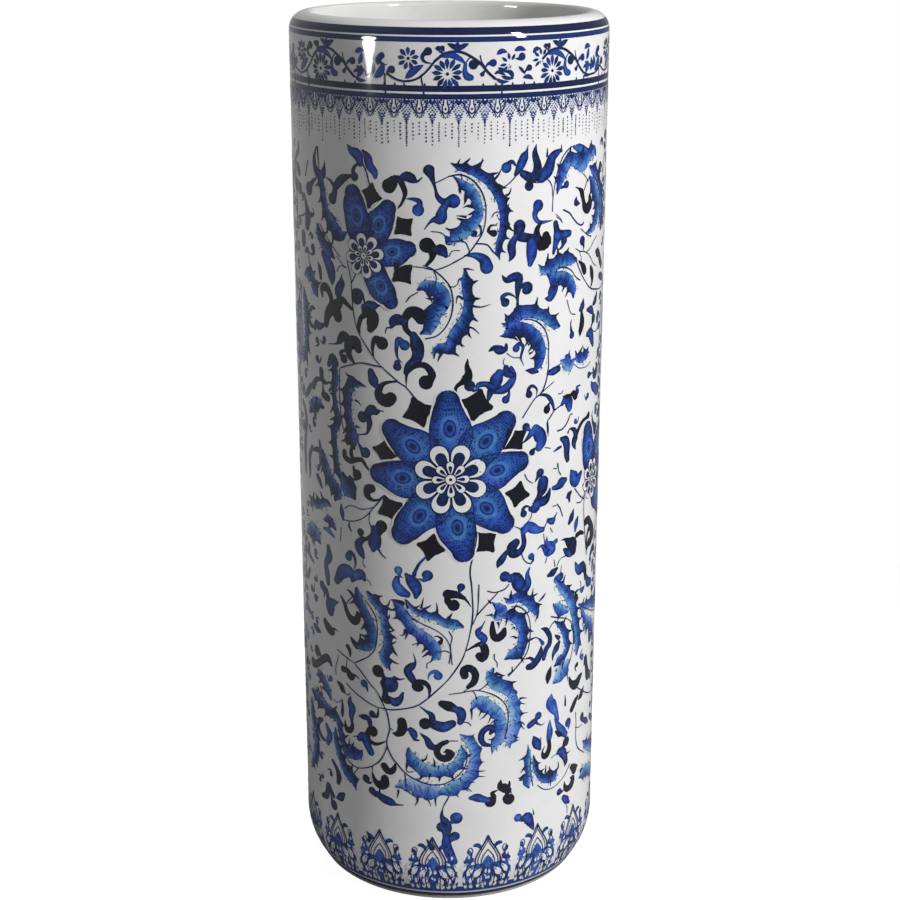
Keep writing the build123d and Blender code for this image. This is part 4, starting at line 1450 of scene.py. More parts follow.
# Commas: tone, size of the round head, and the path of the tail
COMMAS = [
    # round the right-hand flower
    (0.03, 5, (131, 254), (127, 261), (121, 259), (118.5, 251), (119, 245)),
    (0.16, 3.2, (117, 268), (121, 266), (126, 262)),
    (0.12, 4.4, (132, 331), (127, 336), (124, 342), (125.5, 346)),
    (0.05, 4, (146, 341), (141, 338), (139, 343)),
    (0.30, 3.0, (-63.5, 513), (-64.5, 517), (-62, 520.5), (-57, 522)),
    (0.40, 3.9, (-19.5, 494.5), (-18.5, 499.5), (-22, 501.3), (-28, 501.5)),
    (0.30, 3.8, (-83, 497), (-80, 502), (-84, 508), (-90, 510)),
    (0.18, 4.5, (-110, 500), (-106, 504), (-102, 507), (-98, 509)),
    (0.24, 2.4, (15.5, 480), (13.5, 484), (17, 486.5), (20, 483), (19.5, 479), (16, 477.5)),
    (0.05, 2.4, (28.5, 479.5), (25, 481), (26.5, 484.5), (31, 484.5)),
    (0.42, 3.5, (36.5, 520.5), (40, 524), (44, 520)),
    (0.24, 3.3, (52.5, 508), (54, 512), (54, 516)),
    (0.40, 4.0, (59.5, 495), (57, 489), (60, 484.5), (66, 484), (72, 484.5)),
    (0.34, 2.5, (83.5, 506), (80, 504.5), (77, 504)),
    (0.34, 3.3, (102, 467), (104, 463), (103, 460)),
    (0.34, 3.0, (82, 470), (80, 466), (76, 464)),
    (0.25, 4.2, (-63, 434.5), (-65, 438.5), (-60, 439), (-57.5, 434), (-57, 430)),
    (0.05, 4.4, (-44.5, 407), (-49, 409.5), (-51.5, 403.5), (-50.5, 396.5)),
    (0.06, 3.2, (-75, 392.5), (-78, 396), (-74, 398), (-70, 396)),
    (0.40, 3.6, (-29, 407), (-33, 410.5), (-34.5, 404), (-33.5, 398), (-30, 395)),
    (0.05, 4.8, (-15, 383), (-11, 388), (-15, 394), (-21, 394), (-27, 389), (-28, 383), (-28, 379)),
    (0.22, 4.3, (52, 442.5), (48, 444), (46, 441)),
    (0.35, 3.0, (36.5, 434.5), (34.5, 438), (38, 440), (42, 438.5), (44.5, 436)),
    (0.42, 2.6, (44.5, 403.5), (46.5, 406.5), (49.5, 404), (48, 397), (50.5, 391)),
    (0.26, 2.6, (92, 405.5), (91, 410), (90, 415)),
    (0.14, 3.2, (-94, 363), (-97, 366), (-97, 373)),
    (0.22, 4.0, (-60, 355.5), (-57, 357.5), (-54, 360)),
    (0.30, 3.8, (-58, 331.2), (-61.5, 333.5), (-64, 338)),
    (0.05, 3.8, (-65.2, 314.6), (-68, 318), (-68, 321)),
    (0.20, 3.7, (13.3, 380.8), (16, 377.5), (18, 378)),
    (0.36, 2.8, (37.5, 370), (39.5, 373), (40, 378)),
    (0.22, 2.6, (54.5, 371.5), (54, 375), (57, 377), (60.5, 374), (60, 369)),
    (0.05, 3.0, (69.2, 359), (71, 362.5), (73, 363)),
    (0.38, 3.0, (52.5, 349.5), (55.5, 347), (58, 345)),
    (0.30, 2.4, (57.5, 331.5), (59.5, 333.5), (63, 334)),
    (0.20, 3.2, (64.3, 316), (62, 313), (60, 310)),
    (0.05, 4.4, (-46.5, 281.5), (-48, 277), (-52, 275.5), (-57, 271.5), (-62, 269)),
    (0.10, 2.8, (-63, 274.5), (-62, 271), (-57, 271)),
    (0.25, 3.2, (-74, 254.5), (-72.5, 258), (-69, 256), (-67.8, 251), (-69.5, 245)),
    (0.34, 3.9, (-14.5, 250), (-17, 246.5), (-21, 247.5)),
    (0.40, 3.0, (-34.5, 252), (-33.5, 248), (-31, 247)),
    (0.30, 2.6, (58, 258), (59.5, 255), (57, 253)),
    (0.24, 3.8, (38, 247), (42, 246), (43, 243)),
    (0.26, 2.8, (8, 242), (6.5, 238), (5, 236)),
    (0.26, 2.6, (51.5, 289.5), (51, 293), (54, 294.5), (58, 292)),
    (0.05, 4.6, (-50.5, 176), (-46, 172), (-46, 168)),
    (0.22, 3.0, (-62, 164), (-60, 162), (-59, 158)),
    (0.05, 4.3, (-21.5, 169), (-20, 172), (-16, 171.5), (-13.5, 168), (-13.5, 163), (-14.5, 160)),
    (0.40, 3.2, (-7.5, 177.5), (-9, 180.5), (-13, 179), (-14.5, 174)),
    (0.06, 1.9, (-6, 202), (-5, 204.5), (-8, 206.5), (-11, 205.5)),
    (0.05, 4.2, (3, 229), (-1, 232), (0, 236), (6, 236.5), (11, 233), (15, 227)),
    (0.05, 4.2, (-55.5, 129.5), (-59, 128), (-59, 122.5), (-54, 120.3), (-49, 121.8), (-44, 125)),
    (0.20, 2.8, (-55.5, 142.5), (-52, 141.5), (-50.8, 145), (-51, 149)),
    (0.16, 3.2, (-61.5, 91.5), (-59, 89), (-56, 90.5)),
    (0.14, 3.0, (-56.5, 83.5), (-54, 80.5), (-49, 81)),
    (0.06, 4.3, (-16.5, 141.5), (-12, 141), (-9, 142)),
    (0.28, 3.0, (66, 138.5), (63, 136), (61, 134.5)),
    (0.10, 3.8, (95, 109), (92, 106), (93, 101), (97, 99), (101, 100)),
    (0.28, 3.6, (97, 123), (98, 119.5), (97, 117)),
    (0.05, 3.6, (0, 119), (-2, 121), (-4, 120)),
    (0.06, 4.2, (43, 80), (40, 81.5), (43, 86), (45, 84)),
    (0.06, 4.2, (29, 80.5), (31.5, 84), (30, 87), (35, 89)),
    (0.30, 4.5, (5, 70), (2, 67), (-1, 65)),
    (0.28, 4.0, (-5, 63), (-3, 59), (-2, 55)),
    (0.32, 3.5, (4, 56), (2, 53), (0, 50)),
    (0.34, 3.2, (50, 64), (53, 62), (56, 61)),
    (0.12, 4.0, (-94.5, 59), (-97, 62), (-99, 66)),
    (0.16, 2.8, (88, 72), (91, 71), (94, 71.5)),
    (0.08, 3.5, (-104, 225), (-101, 220), (-102, 216)),
    (0.20, 3.0, (-114, 212), (-110, 214)),
    (0.08, 4.5, (-114, 172), (-109, 171), (-106, 168)),
    (0.16, 2.5, (116, 373), (119, 373), (123, 373)),
    (0.05, 3.4, (122, 411), (119, 407), (116, 404)),
    (0.14, 3.0, (135, 385), (133, 382), (130, 381)),
    (0.08, 3.4, (118, 119), (120, 115), (124, 113)),
    (0.08, 3.8, (107, 82), (103, 84), (100, 87)),
]

# Single brush strokes (leaves, buds, hooks and dabs): tone, then (across, up, half width)
STROKES = [
    # above, left
    (0.42, (-69, 533, 0.3), (-66, 529.5, 2.5), (-61, 527, 3.8), (-59, 522, 2.5)),
    (0.38, (-57, 530, 0.8), (-53.5, 526, 3), (-52, 521, 3), (-48.5, 517, 2.6), (-48, 514, 1.5)),
    (0.03, (-38.5, 509, 4.8), (-34, 513, 3.2), (-31, 512.5, 2.2), (-28, 506, 1.8), (-28.5, 502, 1.2),
     (-31, 497, 0.8), (-35, 493.5, 0.4)),
    (0.24, (-31, 513, 2), (-27, 515.5, 3.2), (-23, 514, 3), (-20, 512.5, 1), (-17, 515, 0.4)),
    (0.30, (-12.5, 519.5, 3.8), (-10.5, 514.5, 1.8), (-8.5, 508, 0.9), (-7, 503, 1.6), (-3, 500, 2.5),
     (2.5, 500.5, 4.6)),
    (0.40, (-1, 500, 2), (-4, 495, 2.8), (-5.5, 489.5, 4), (-10, 488.5, 1.6), (-13, 486, 0.7),
     (-15.5, 482.5, 0.4)),
    (0.03, (-14, 472.5, 5), (-10.5, 469, 3.5), (-11, 464, 1.6), (-14, 460, 1.1)),
    (0.24, (-9, 470, 2), (-5, 469.5, 4), (-2, 466, 1.5)),
    (0.40, (-2, 478, 1), (0, 475.5, 3)),
    (0.34, (-86, 485, 3), (-82, 483, 2.5)),
    (0.26, (-83, 500, 1), (-78, 507, 3), (-73, 511, 2.8), (-66, 513.5, 0.8)),
    (0.24, (-99, 529, 0.3), (-102, 521, 1.8), (-101, 515, 2.6), (-97, 511, 3.5), (-92, 512, 3),
     (-90, 519, 0.3)),
    (0.15, (-118, 496, 0.6), (-115, 489, 2.2), (-112.5, 482, 4), (-114, 475, 3.4)),
    (0.15, (-121, 468, 3.5), (-121, 463, 3.5)),
    (0.20, (-127, 528, 1.2), (-128, 522, 2), (-133, 519, 2), (-136, 514, 2.2), (-130, 512, 3)),
    (0.34, (-142, 502, 2), (-134, 500, 4), (-126, 498, 4)),
    (0.38, (-93, 460, 3), (-87, 452, 4.5), (-85, 445, 3.5), (-85, 441, 1)),
    (0.26, (-100, 453, 0.5), (-98, 449, 2), (-97, 443, 1.5)),
    # above, right
    (0.42, (43, 516, 1.5), (46, 521, 3), (49, 527, 3), (50.5, 530, 1), (51.5, 534, 0.2)),
    (0.24, (57.5, 534, 0.2), (56.5, 528, 2.2), (58.5, 521, 3), (58, 515, 4), (54, 513, 3.5),
     (48, 516, 2.5)),
    (0.03, (66, 475, 3), (66, 472, 5), (62, 470, 4.5), (59, 475, 3), (59, 480, 2), (62, 484, 1)),
    (0.20, (46, 483, 4.3), (46, 477, 3.5), (52, 475, 3), (58, 474, 3)),
    (0.40, (55, 471, 4), (55, 464, 4), (54, 458, 2)),
    (0.40, (43, 476, 2), (40.5, 471, 3), (41, 465, 2.5), (39, 461, 0.4)),
    (0.40, (10, 466, 0.5), (16, 466, 2), (22, 463, 3.5), (24, 458, 4.4)),
    (0.24, (59, 513, 3), (62, 512, 3)),
    (0.40, (62, 513, 4), (67, 517, 4.5), (70, 524, 3.5), (74, 527, 2.5), (78, 528.5, 1)),
    (0.45, (90, 529, 1), (95, 528, 3), (100, 526, 3.5), (106, 525, 2)),
    (0.03, (93, 503, 0.4), (97, 501.5, 1), (100, 499, 2.5), (102, 494, 2), (104, 489, 3),
     (108, 487, 3.5), (111, 490, 4), (111, 494, 2)),
    (0.20, (94, 497, 0.2), (93.5, 493, 2.5), (98, 492, 0.4)),
    (0.38, (74, 482, 2.2), (75, 478, 2.6), (76, 474, 3.8), (74.5, 469, 2.5), (72.5, 463, 1.2)),
    (0.36, (76, 474, 3.5), (82, 474, 3), (87, 474, 2.5)),
    (0.06, (98, 454, 0.6), (101, 452, 1.4), (104, 449, 2.8), (106, 446, 2.6)),
    (0.06, (115, 447, 1.6), (117, 443, 3), (118, 438, 2), (116, 434, 0.8)),
    (0.10, (124, 456, 1.5), (127, 455, 3.5), (131, 453, 2.5), (134, 449, 3), (138, 445, 3)),
    (0.12, (133, 438, 2), (137, 437, 3), (143, 435, 2.6)),
    # round the hooked feather
    (0.05, (-95.5, 431, 0.8), (-96, 436, 2.5), (-92, 438, 3), (-88, 435, 2.5), (-86, 430, 2),
     (-87, 426, 1.5)),
    (0.04, (-92, 413, 2.5), (-90, 420, 3.5), (-85, 425, 4.5), (-80, 428, 4), (-76, 432, 2.5),
     (-72, 430, 1.8), (-67.5, 427, 1.2)),
    (0.04, (-82, 427, 4), (-80, 420, 4)),
    (0.30, (-78, 431, 1.5), (-79, 437, 3.5), (-76, 443, 3), (-76, 447, 0.6), (-75, 449, 0.3)),
    (0.30, (-92, 413, 1), (-97, 411, 2), (-101, 410, 3), (-104, 412, 2), (-106, 408, 2)),
    (0.24, (-106, 421, 1), (-109, 421, 1.5), (-113, 418, 2), (-115, 413, 2), (-112, 409, 2),
     (-107, 408, 1.2)),
    (0.40, (-57, 429, 3), (-53, 430, 4.5), (-48, 432, 2), (-44, 432.5, 0.4)),
    (0.04, (-56, 427, 3.5), (-51, 424, 4.5), (-52, 418, 4), (-53, 415.5, 2.5)),
    (0.04, (-56, 425, 2), (-60, 422, 1.8), (-62, 416, 1.6), (-61.5, 412, 1)),
    (0.04, (-62.5, 401, 3), (-65, 405, 4.6), (-70, 403, 4.5), (-71, 398, 3), (-69, 394, 2),
     (-66, 391, 0.8)),
    (0.22, (-70, 405, 3), (-75, 408, 3.5), (-79, 404, 2.5), (-82, 401.5, 0.7), (-90, 400, 0.3)),
    (0.30, (-90, 386, 2), (-86, 391, 3.5), (-83, 388, 3)),
    (0.04, (-18, 425, 4), (-20, 428, 4.5), (-25, 429, 3.5), (-28.5, 424, 2.6), (-28, 418, 2),
     (-24.5, 414, 1.6)),
    (0.24, (-30, 423, 3), (-34, 423.5, 3.8), (-37, 421, 3), (-38, 418, 1), (-41, 417.5, 0.5),
     (-42, 414, 0.4)),
    (0.32, (-23, 414, 2.5), (-21, 408, 4.5), (-20, 402, 4), (-22, 397, 3.5), (-26, 393, 3),
     (-28, 389, 2)),
    (0.30, (-34, 395, 2), (-34, 392.5, 3)),
    (0.24, (34, 452.5, 0.3), (37, 449, 2), (42, 450.5, 3), (46, 450, 3), (45.5, 444, 2.5),
     (45, 437, 1.2), (46, 430, 0.4)),
    (0.24, (25.5, 403, 0.3), (29, 405, 2), (33, 403.5, 3.2), (37, 404, 2), (37.5, 407, 0.8)),
    (0.24, (52, 388, 0.6), (57, 387, 2.2), (61, 386, 1)),
    (0.40, (66, 434, 0.4), (70, 434, 3), (73, 439, 4), (75, 443, 3)),
    (0.05, (12, 399, 0.3), (11.5, 394, 1.6), (12.5, 389, 2.6), (11, 385, 3.6), (8, 383, 1.8),
     (4.5, 380, 1.2), (4, 375, 0.8)),
    (0.36, (101, 421, 1.5), (104, 423, 3), (105, 427, 1)),
    (0.06, (103, 419, 1.5), (104, 412, 3), (102, 406, 2.5), (101.5, 403, 0.5)),
    (0.38, (111, 419, 1.2), (117, 418, 3), (121, 415, 1.5)),
    (0.20, (121, 421, 1.5), (125, 423, 3), (128, 427, 1)),
    (0.36, (112, 402, 2), (117, 402, 4), (120, 397, 3.5), (122, 393, 2)),
    (0.40, (70, 383, 1), (74, 384, 2.8), (79, 385, 2.2)),
    # left of the great flower
    (0.22, (-87, 371, 1.4), (-90, 368, 1)),
    (0.05, (-99, 380, 2.6), (-98, 374, 2.5), (-93, 372.5, 1.2), (-90, 374, 0.4)),
    (0.06, (-97, 363.5, 2.6), (-92, 362.5, 2.8)),
    (0.14, (-110, 367, 3), (-106, 372, 2), (-100, 374, 1.4)),
    (0.16, (-124, 357, 2), (-119, 361, 2.6), (-114, 366, 2)),
    (0.18, (-131, 351, 2), (-126, 346, 2.5), (-124, 338, 2.5), (-126, 330, 2.5), (-128, 320, 3),
     (-128, 308, 2.5), (-128, 300, 1)),
    (0.18, (-114, 323, 1.6), (-119, 315, 2.5), (-119, 305, 2), (-120, 299, 0.6)),
    (0.30, (-113, 321, 1), (-106, 323, 2), (-99, 322.5, 1)),
    (0.30, (-107, 304, 2), (-104, 301, 2.2), (-101, 297, 1)),
    (0.05, (-38.5, 371, 4), (-41, 369, 4.6), (-45.5, 370, 4.2), (-47.5, 374, 3), (-45, 379, 1.8),
     (-40, 381.5, 1), (-34, 382.5, 0.7)),
    (0.40, (-53, 387, 2.5), (-51, 381, 3.8), (-48.5, 377, 1.5)),
    (0.24, (-57, 357, 2.5), (-53, 361.5, 3.5), (-49, 360.5, 2.5), (-46.5, 361.5, 0.6),
     (-44, 361.3, 0.4)),
    (0.24, (-56, 357, 2.5), (-54.5, 352, 2.2), (-56, 346, 1.2), (-58, 344, 0.6), (-64, 342.5, 0.4)),
    (0.05, (-76, 328.5, 2), (-75.5, 325, 2.2), (-71, 323, 2), (-67, 324.5, 2), (-61, 325.5, 1.5),
     (-57, 321, 1), (-54, 319, 0.8)),
    (0.05, (-69.5, 334, 1), (-70, 328, 1.8), (-68, 324, 1.5)),
    (0.45, (-103, 330, 1), (-102, 322, 2.4), (-102, 314, 2)),
    # right of the great flower
    (0.40, (18, 378, 1), (19, 381, 2), (24, 381.5, 2), (29, 379, 3.5), (31, 384, 4.5), (33, 388, 3)),
    (0.40, (29, 377, 2.5), (36, 377, 3), (41, 381, 2.8), (43, 386, 2), (41, 391, 1.4)),
    (0.34, (27, 376, 2.5), (25.5, 371, 1.2), (24, 368, 0.5)),
    (0.30, (37.5, 391.5, 2), (38, 388, 3), (42, 386, 2)),
    (0.24, (63, 370, 0.8), (68, 369, 1.2), (72, 365.5, 1.8), (74.5, 361, 1.3), (75.5, 357, 0.8)),
    (0.38, (83, 360, 1.5), (86, 362, 3), (90, 360, 4.5), (91, 356, 3)),
    (0.05, (84, 365, 0.6), (88, 364.5, 1.5), (92, 364.5, 1.2), (95, 365, 2.5), (97.5, 362.5, 2.8)),
    (0.38, (60, 347, 3.5), (63, 343, 5), (65, 338, 4.5), (63, 334, 3)),
    (0.38, (57, 345, 2.5), (53, 341, 1.2), (50, 339, 0.5)),
    (0.24, (70, 350, 0.6), (70.5, 345, 0.8), (70.5, 340, 0.3)),
    (0.32, (83, 336, 1.5), (87, 334, 3.5), (89, 330, 3.5), (89, 324, 3), (90, 320, 2.3)),
    (0.24, (90, 339, 1), (92, 341, 0.7), (97, 339, 2), (99, 335, 3), (97, 330, 3), (99, 325, 0.5)),
    (0.24, (76, 328.5, 0.5), (80, 330, 1.2), (83, 330.5, 0.8)),
    (0.06, (100, 333, 0.8), (103, 339, 1.8), (108, 342.5, 1.6), (113, 343.5, 1.4), (117, 344.5, 2.4)),
    (0.22, (67, 309, 4.6), (66, 304, 4.5), (64, 300, 2.4), (62, 296, 3)),
    (0.22, (57, 292, 2), (60, 292, 4), (63, 295, 3.5), (69, 296, 3.5), (72, 300, 2), (73, 303, 0.8)),
    (0.30, (76, 303, 1.5), (80, 303, 2.5), (84, 305, 4), (88, 306, 2)),
    (0.36, (94, 311, 1), (97, 306, 5), (101, 302, 4.6), (107, 306, 2)),
    (0.14, (124, 376, 1), (126, 371, 3), (130, 371, 3.4), (132, 375, 3), (130, 378, 1)),
    (0.34, (121, 366, 1.5), (124, 363, 3), (129, 361, 4), (134, 358, 4), (139, 358, 2)),
    # below the great flower, left
    (0.05, (-53.5, 307, 3), (-56.5, 306, 3.5), (-57, 301.5, 2.5), (-53, 299, 1.2), (-48, 300, 0.8),
     (-45, 303, 0.5)),
    (0.30, (-80, 290, 1), (-79.5, 285, 2.2), (-78.5, 280, 1)),
    (0.16, (-72.5, 280, 0.4), (-73, 276.5, 1), (-71, 273.5, 0.6)),
    (0.30, (-52, 279, 2.6), (-51, 272, 4.5), (-52.5, 267, 4.8), (-53, 264, 2)),
    (0.24, (-49, 265, 1), (-46.5, 261.5, 0.6), (-43.5, 259.3, 0.4)),
    (0.28, (-61, 270, 2), (-65, 265.5, 3.4), (-63, 260, 3), (-61, 257, 1.4)),
    (0.05, (-60, 269.5, 1.2), (-56, 272, 1.6), (-52, 275, 2)),
    (0.34, (-86, 234, 3), (-80, 242, 5), (-74, 243.5, 4.8), (-70, 240, 2.4)),
    (0.36, (-71, 238, 1.6), (-67, 242.5, 3.5), (-63, 244, 4), (-60.5, 241, 1.6)),
    (0.60, (-100, 268, 1), (-94, 268, 2), (-88, 265, 1)),
    (0.28, (-95, 256, 2), (-94, 249, 3.6), (-98, 243, 2.6), (-97, 236, 3), (-96, 229, 2)),
    (0.20, (-131, 242, 2), (-124, 241, 2.2), (-117, 238, 1.2)),
    (0.30, (-16, 262.5, 0.8), (-20, 258, 1), (-22.5, 253, 1.2), (-23.5, 250, 1.6)),
    (0.26, (-29, 249.5, 1.4), (-26, 246, 4), (-23, 242, 4.6), (-22, 238, 3.6), (-22.5, 234, 1.4)),
    (0.38, (-35.5, 246, 2), (-36, 241.5, 3.5), (-33, 237.5, 4), (-28.5, 235.5, 2.6)),
    # below the great flower, right
    (0.24, (46, 270, 3), (43, 267, 4), (44, 262.5, 3.5), (49, 263, 2.5), (52, 268, 2), (51.5, 274, 1.8),
     (50.5, 279, 1.5)),
    (0.24, (32.5, 254, 0.4), (34, 257, 2.5), (36.5, 260.5, 2.6), (39, 264.5, 1.4)),
    (0.42, (52, 277, 2.4), (55, 280, 3.5), (59, 278, 3.8), (63, 276, 2.8), (67, 275.5, 2)),
    (0.30, (72, 281, 1.6), (76, 279.5, 2.8), (78, 282, 1), (80.5, 285, 0.3)),
    (0.44, (71, 269, 0.5), (71, 265, 2), (74, 262, 4), (76, 259, 3.5), (72, 256, 1.5)),
    (0.40, (77, 263, 2), (80, 264.5, 1.6)),
    (0.26, (63, 262, 0.3), (66, 264, 0.9), (69, 262, 2.2), (71, 258, 2.4)),
    (0.24, (42, 245, 3), (46, 244.5, 4.6), (48.5, 240, 5), (51, 236, 4)),
    (0.28, (52, 234, 3.4), (55.5, 239, 3), (55, 246, 1.6), (57, 250.5, 0.5)),
    (0.05, (-1, 237, 3.4), (5, 236.5, 2.6), (10, 234, 1.4)),
    (0.14, (90, 293, 1), (92, 294, 2.5), (94.5, 295.5, 1.4)),
    (0.14, (92.5, 292.5, 1.8), (93, 289.5, 1)),
    (0.14, (98, 282, 0.8), (96, 277, 2.8), (93.5, 274, 1.8)),
    (0.10, (85, 263.5, 0.3), (89, 263, 1.2), (93, 260, 3.4), (98, 257, 5.2), (99, 252, 3.6)),
    (0.30, (88, 256, 1.2), (92, 253, 3.2), (96, 251, 3)),
    (0.05, (103, 262, 2), (108, 262.5, 1.8), (113, 260.5, 1)),
    (0.34, (101, 266, 1.2), (102, 271, 2.8), (104, 275, 1)),
    (0.16, (73, 241, 1.4), (77, 242, 2.9), (81, 244, 1.2)),
    (0.34, (81, 236, 3), (85, 237, 3.2)),
    (0.05, (117, 268, 2.6), (121, 268, 3), (127, 262, 3.4), (130, 256, 5), (127, 251, 4), (122, 250, 3),
     (119, 246, 1.2)),
    (0.12, (111, 296, 1.2), (115, 294, 3), (120, 293, 2.6)),
    (0.32, (102, 242, 1), (105, 237, 3.2), (110, 235, 4.4), (113, 237, 3)),
    (0.06, (109, 238, 2), (113, 236, 3.6), (117, 232, 3), (118, 226, 2)),
    (0.30, (120, 226, 2), (123, 221, 3.6), (129, 219, 3)),
    (0.16, (128, 240, 2), (133, 243, 3), (138, 241, 1.6)),
    (0.20, (134, 232, 2.6), (133, 226, 1.4)),
    # the left side, below
    (0.05, (-76, 230, 0.4), (-73, 229, 1.2), (-69.5, 226, 1.5)),
    (0.05, (-66.5, 215, 1.6), (-66.8, 211, 3), (-70, 208.5, 3.2), (-74, 210.5, 2.5), (-77, 215, 2),
     (-78.5, 219, 1.8), (-82, 223.5, 0.9)),
    (0.28, (-94, 209, 4), (-94, 213.5, 5.6), (-90, 216.5, 3), (-85, 218, 0.5)),
    (0.12, (-104, 225, 3), (-98, 222, 2.4), (-97, 218, 2)),
    (0.05, (-73, 195.5, 0.8), (-71, 193, 2), (-68, 190.5, 2.4)),
    (0.06, (-101, 199, 2.6), (-97, 195.5, 3.8), (-92, 194, 3), (-90, 197, 1), (-85.5, 196, 0.3)),
    (0.18, (-118, 190, 2), (-113, 189, 3), (-108, 188.5, 1)),
    (0.08, (-76.5, 188, 1.8), (-74.5, 185.5, 1.8), (-74, 181, 0.6)),
    (0.06, (-81, 169.5, 2.6), (-77, 169.5, 2.2), (-73.5, 166, 3.2), (-70, 168, 1), (-66, 166.5, 0.4)),
    (0.30, (-45, 170, 3), (-41.5, 168, 6.4)),
    (0.12, (-38, 173, 1.6), (-34.5, 172.5, 0.8), (-31, 173.5, 0.4)),
    (0.10, (-47, 168, 2), (-45, 162, 2), (-45, 156, 3), (-43, 155, 2.4)),
    (0.24, (-42, 157, 2), (-38, 155, 3.4), (-34, 158, 2.4), (-32, 163, 0.8)),
    (0.20, (-24.5, 193, 0.3), (-23, 187, 0.8), (-25, 184, 2.5), (-28.5, 180, 3), (-26.5, 175.5, 3),
     (-23, 171, 2.2)),
    (0.14, (-40, 230, 0.4), (-36, 229.5, 1.5), (-32, 228.5, 2)),
    (0.10, (-122, 160, 4), (-116, 161, 3), (-110, 165, 3), (-103, 170, 3), (-98, 172, 3),
     (-94, 168, 1.2)),
    (0.20, (-67, 138, 0.6), (-63, 138.5, 2.2), (-59, 138.5, 2.2), (-57.5, 135, 2), (-57.5, 131, 1.2)),
    (0.26, (-67, 121, 2.4), (-63, 123.5, 3.8), (-60, 118, 3.2), (-57, 113, 2.8)),
    (0.04, (-33, 141, 3.4), (-32.5, 137, 3.6), (-34, 133, 3.2), (-37.5, 131, 1.8), (-39.5, 131.5, 0.6)),
    (0.22, (-29, 135.5, 1), (-27, 136, 2.2), (-24.5, 133, 2.8), (-23.5, 129, 1.5), (-20.5, 128.5, 0.4)),
    (0.20, (-20, 154, 0.4), (-16, 151, 1), (-12, 148, 2.2), (-11.5, 143, 2.4)),
    (0.24, (-10, 141, 3.6), (-4, 139.5, 4), (2, 142, 3)),
    (0.05, (-5, 157, 2.6), (0, 155, 3.8), (4, 153, 2.6)),
    (0.24, (4, 153, 2.4), (7.5, 151, 3.5), (8.5, 147, 3.2), (7.5, 143, 2.2)),
    (0.18, (-20, 134, 0.4), (-15.5, 130, 2), (-13.5, 126, 2.8), (-11, 124, 2.6), (-8, 125, 1.4)),
    (0.05, (-1.5, 128.5, 1.6), (-6, 126, 2), (-8.5, 121, 2.3), (-6, 116.5, 2.6), (-1.5, 116, 2.8),
     (1.5, 119, 2.6)),
    (0.04, (-46.5, 105, 2.8), (-44, 102, 2.8), (-41, 102, 2.5), (-39, 104.5, 2), (-38, 108, 0.7)),
    (0.04, (-46, 95.5, 3), (-46.5, 91.5, 3.8), (-50, 89.5, 3.4), (-54, 92, 2), (-56, 97, 0.8)),
    (0.30, (-74.5, 151, 0.5), (-75, 146, 2.6), (-73, 142, 3.3), (-74, 137, 2.5), (-73.5, 132, 1.3)),
    (0.05, (-74, 133, 1.2), (-73, 129, 1.7), (-75, 125, 2.3), (-78.5, 124.5, 2.6), (-80, 128, 1.2),
     (-80, 131, 0.4)),
    (0.06, (-87.5, 158, 0.8), (-84, 156, 2.4), (-82, 153.5, 2.6), (-80, 152, 0.8)),
    (0.16, (-83, 146, 0.6), (-82.5, 140, 1.4), (-83, 135, 1.6), (-83, 132.5, 0.6)),
    (0.18, (-108, 121, 1.6), (-113, 118, 2.5), (-115, 112, 2.5), (-110, 107, 2.2), (-105, 106, 1.4)),
    (0.30, (-102, 119, 2), (-98, 113, 3.4), (-101, 106, 2.6)),
    (0.14, (-95, 94, 1.5), (-90, 89, 2.2), (-88, 84, 3), (-89, 79, 2)),
    (0.26, (-52, 82, 2.4), (-47, 79.5, 3.2), (-41, 78, 3), (-37.5, 77, 1), (-32.5, 77.5, 0.4)),
    (0.06, (-50, 88, 0.5), (-50.5, 84, 0.8), (-50, 81, 1.2)),
    (0.26, (-91, 66, 1), (-86.5, 68.5, 3.4), (-83, 72, 1.6)),
    (0.24, (-99, 69, 3), (-95, 66, 2.2)),
    (0.16, (-110, 60, 2), (-104, 63, 3), (-101, 72, 2.8), (-98, 68, 2)),
    (0.30, (-5, 75, 0.8), (-5, 71, 1.6), (-3, 67, 3.4), (-2, 62, 4), (-2, 56, 2.6), (-2, 50, 3.4),
     (0, 43, 3.6), (3, 36, 3)),
    (0.20, (-16, 53, 0.3), (-14, 50, 1.4), (-12, 46, 2)),
    (0.14, (-62, 50, 0.4), (-59, 47, 1.8), (-60, 43, 1.4)),
    # the right side, below
    (0.32, (24.5, 217, 0.3), (22, 212.5, 0.8), (19.5, 209.5, 2.2), (21.5, 206, 2.8), (24, 203.5, 2.5),
     (22, 200, 1.6)),
    (0.05, (20.5, 191.5, 2.8), (22.5, 189.5, 3.2), (24.5, 193, 3), (23.5, 198, 2.8), (20.5, 200, 1.9),
     (16.5, 198.5, 1), (12, 196, 0.5)),
    (0.05, (29.5, 215, 1.2), (29.5, 210, 2.1), (30.5, 205, 2.6), (33.5, 203, 2.9), (37, 205.5, 3),
     (38, 208.5, 1.8)),
    (0.05, (10.5, 177.5, 2.8), (10, 181, 3.1), (12.5, 183, 2.8), (16, 181.5, 2.6), (18, 177, 2.6),
     (16.5, 172, 2.5), (13, 169, 1.6)),
    (0.12, (67.5, 203.5, 0.5), (71, 202, 1.8), (73.5, 199, 2.2), (75.5, 195, 2.1), (75, 190, 2.3),
     (72, 187, 2.3), (70, 180.5, 1.8)),
    (0.12, (57, 177.5, 2.4), (60.5, 178, 3), (65, 182, 3), (67, 186, 2.4), (67.5, 190, 0.8)),
    (0.12, (53.5, 184, 0.4), (58, 184, 1), (61, 181.5, 1.5)),
    (0.14, (81, 194.5, 1), (84, 192, 1.9)),
    (0.16, (84.5, 188.5, 1.6), (82, 185, 3), (79, 181, 1.6), (78.5, 177, 0.5)),
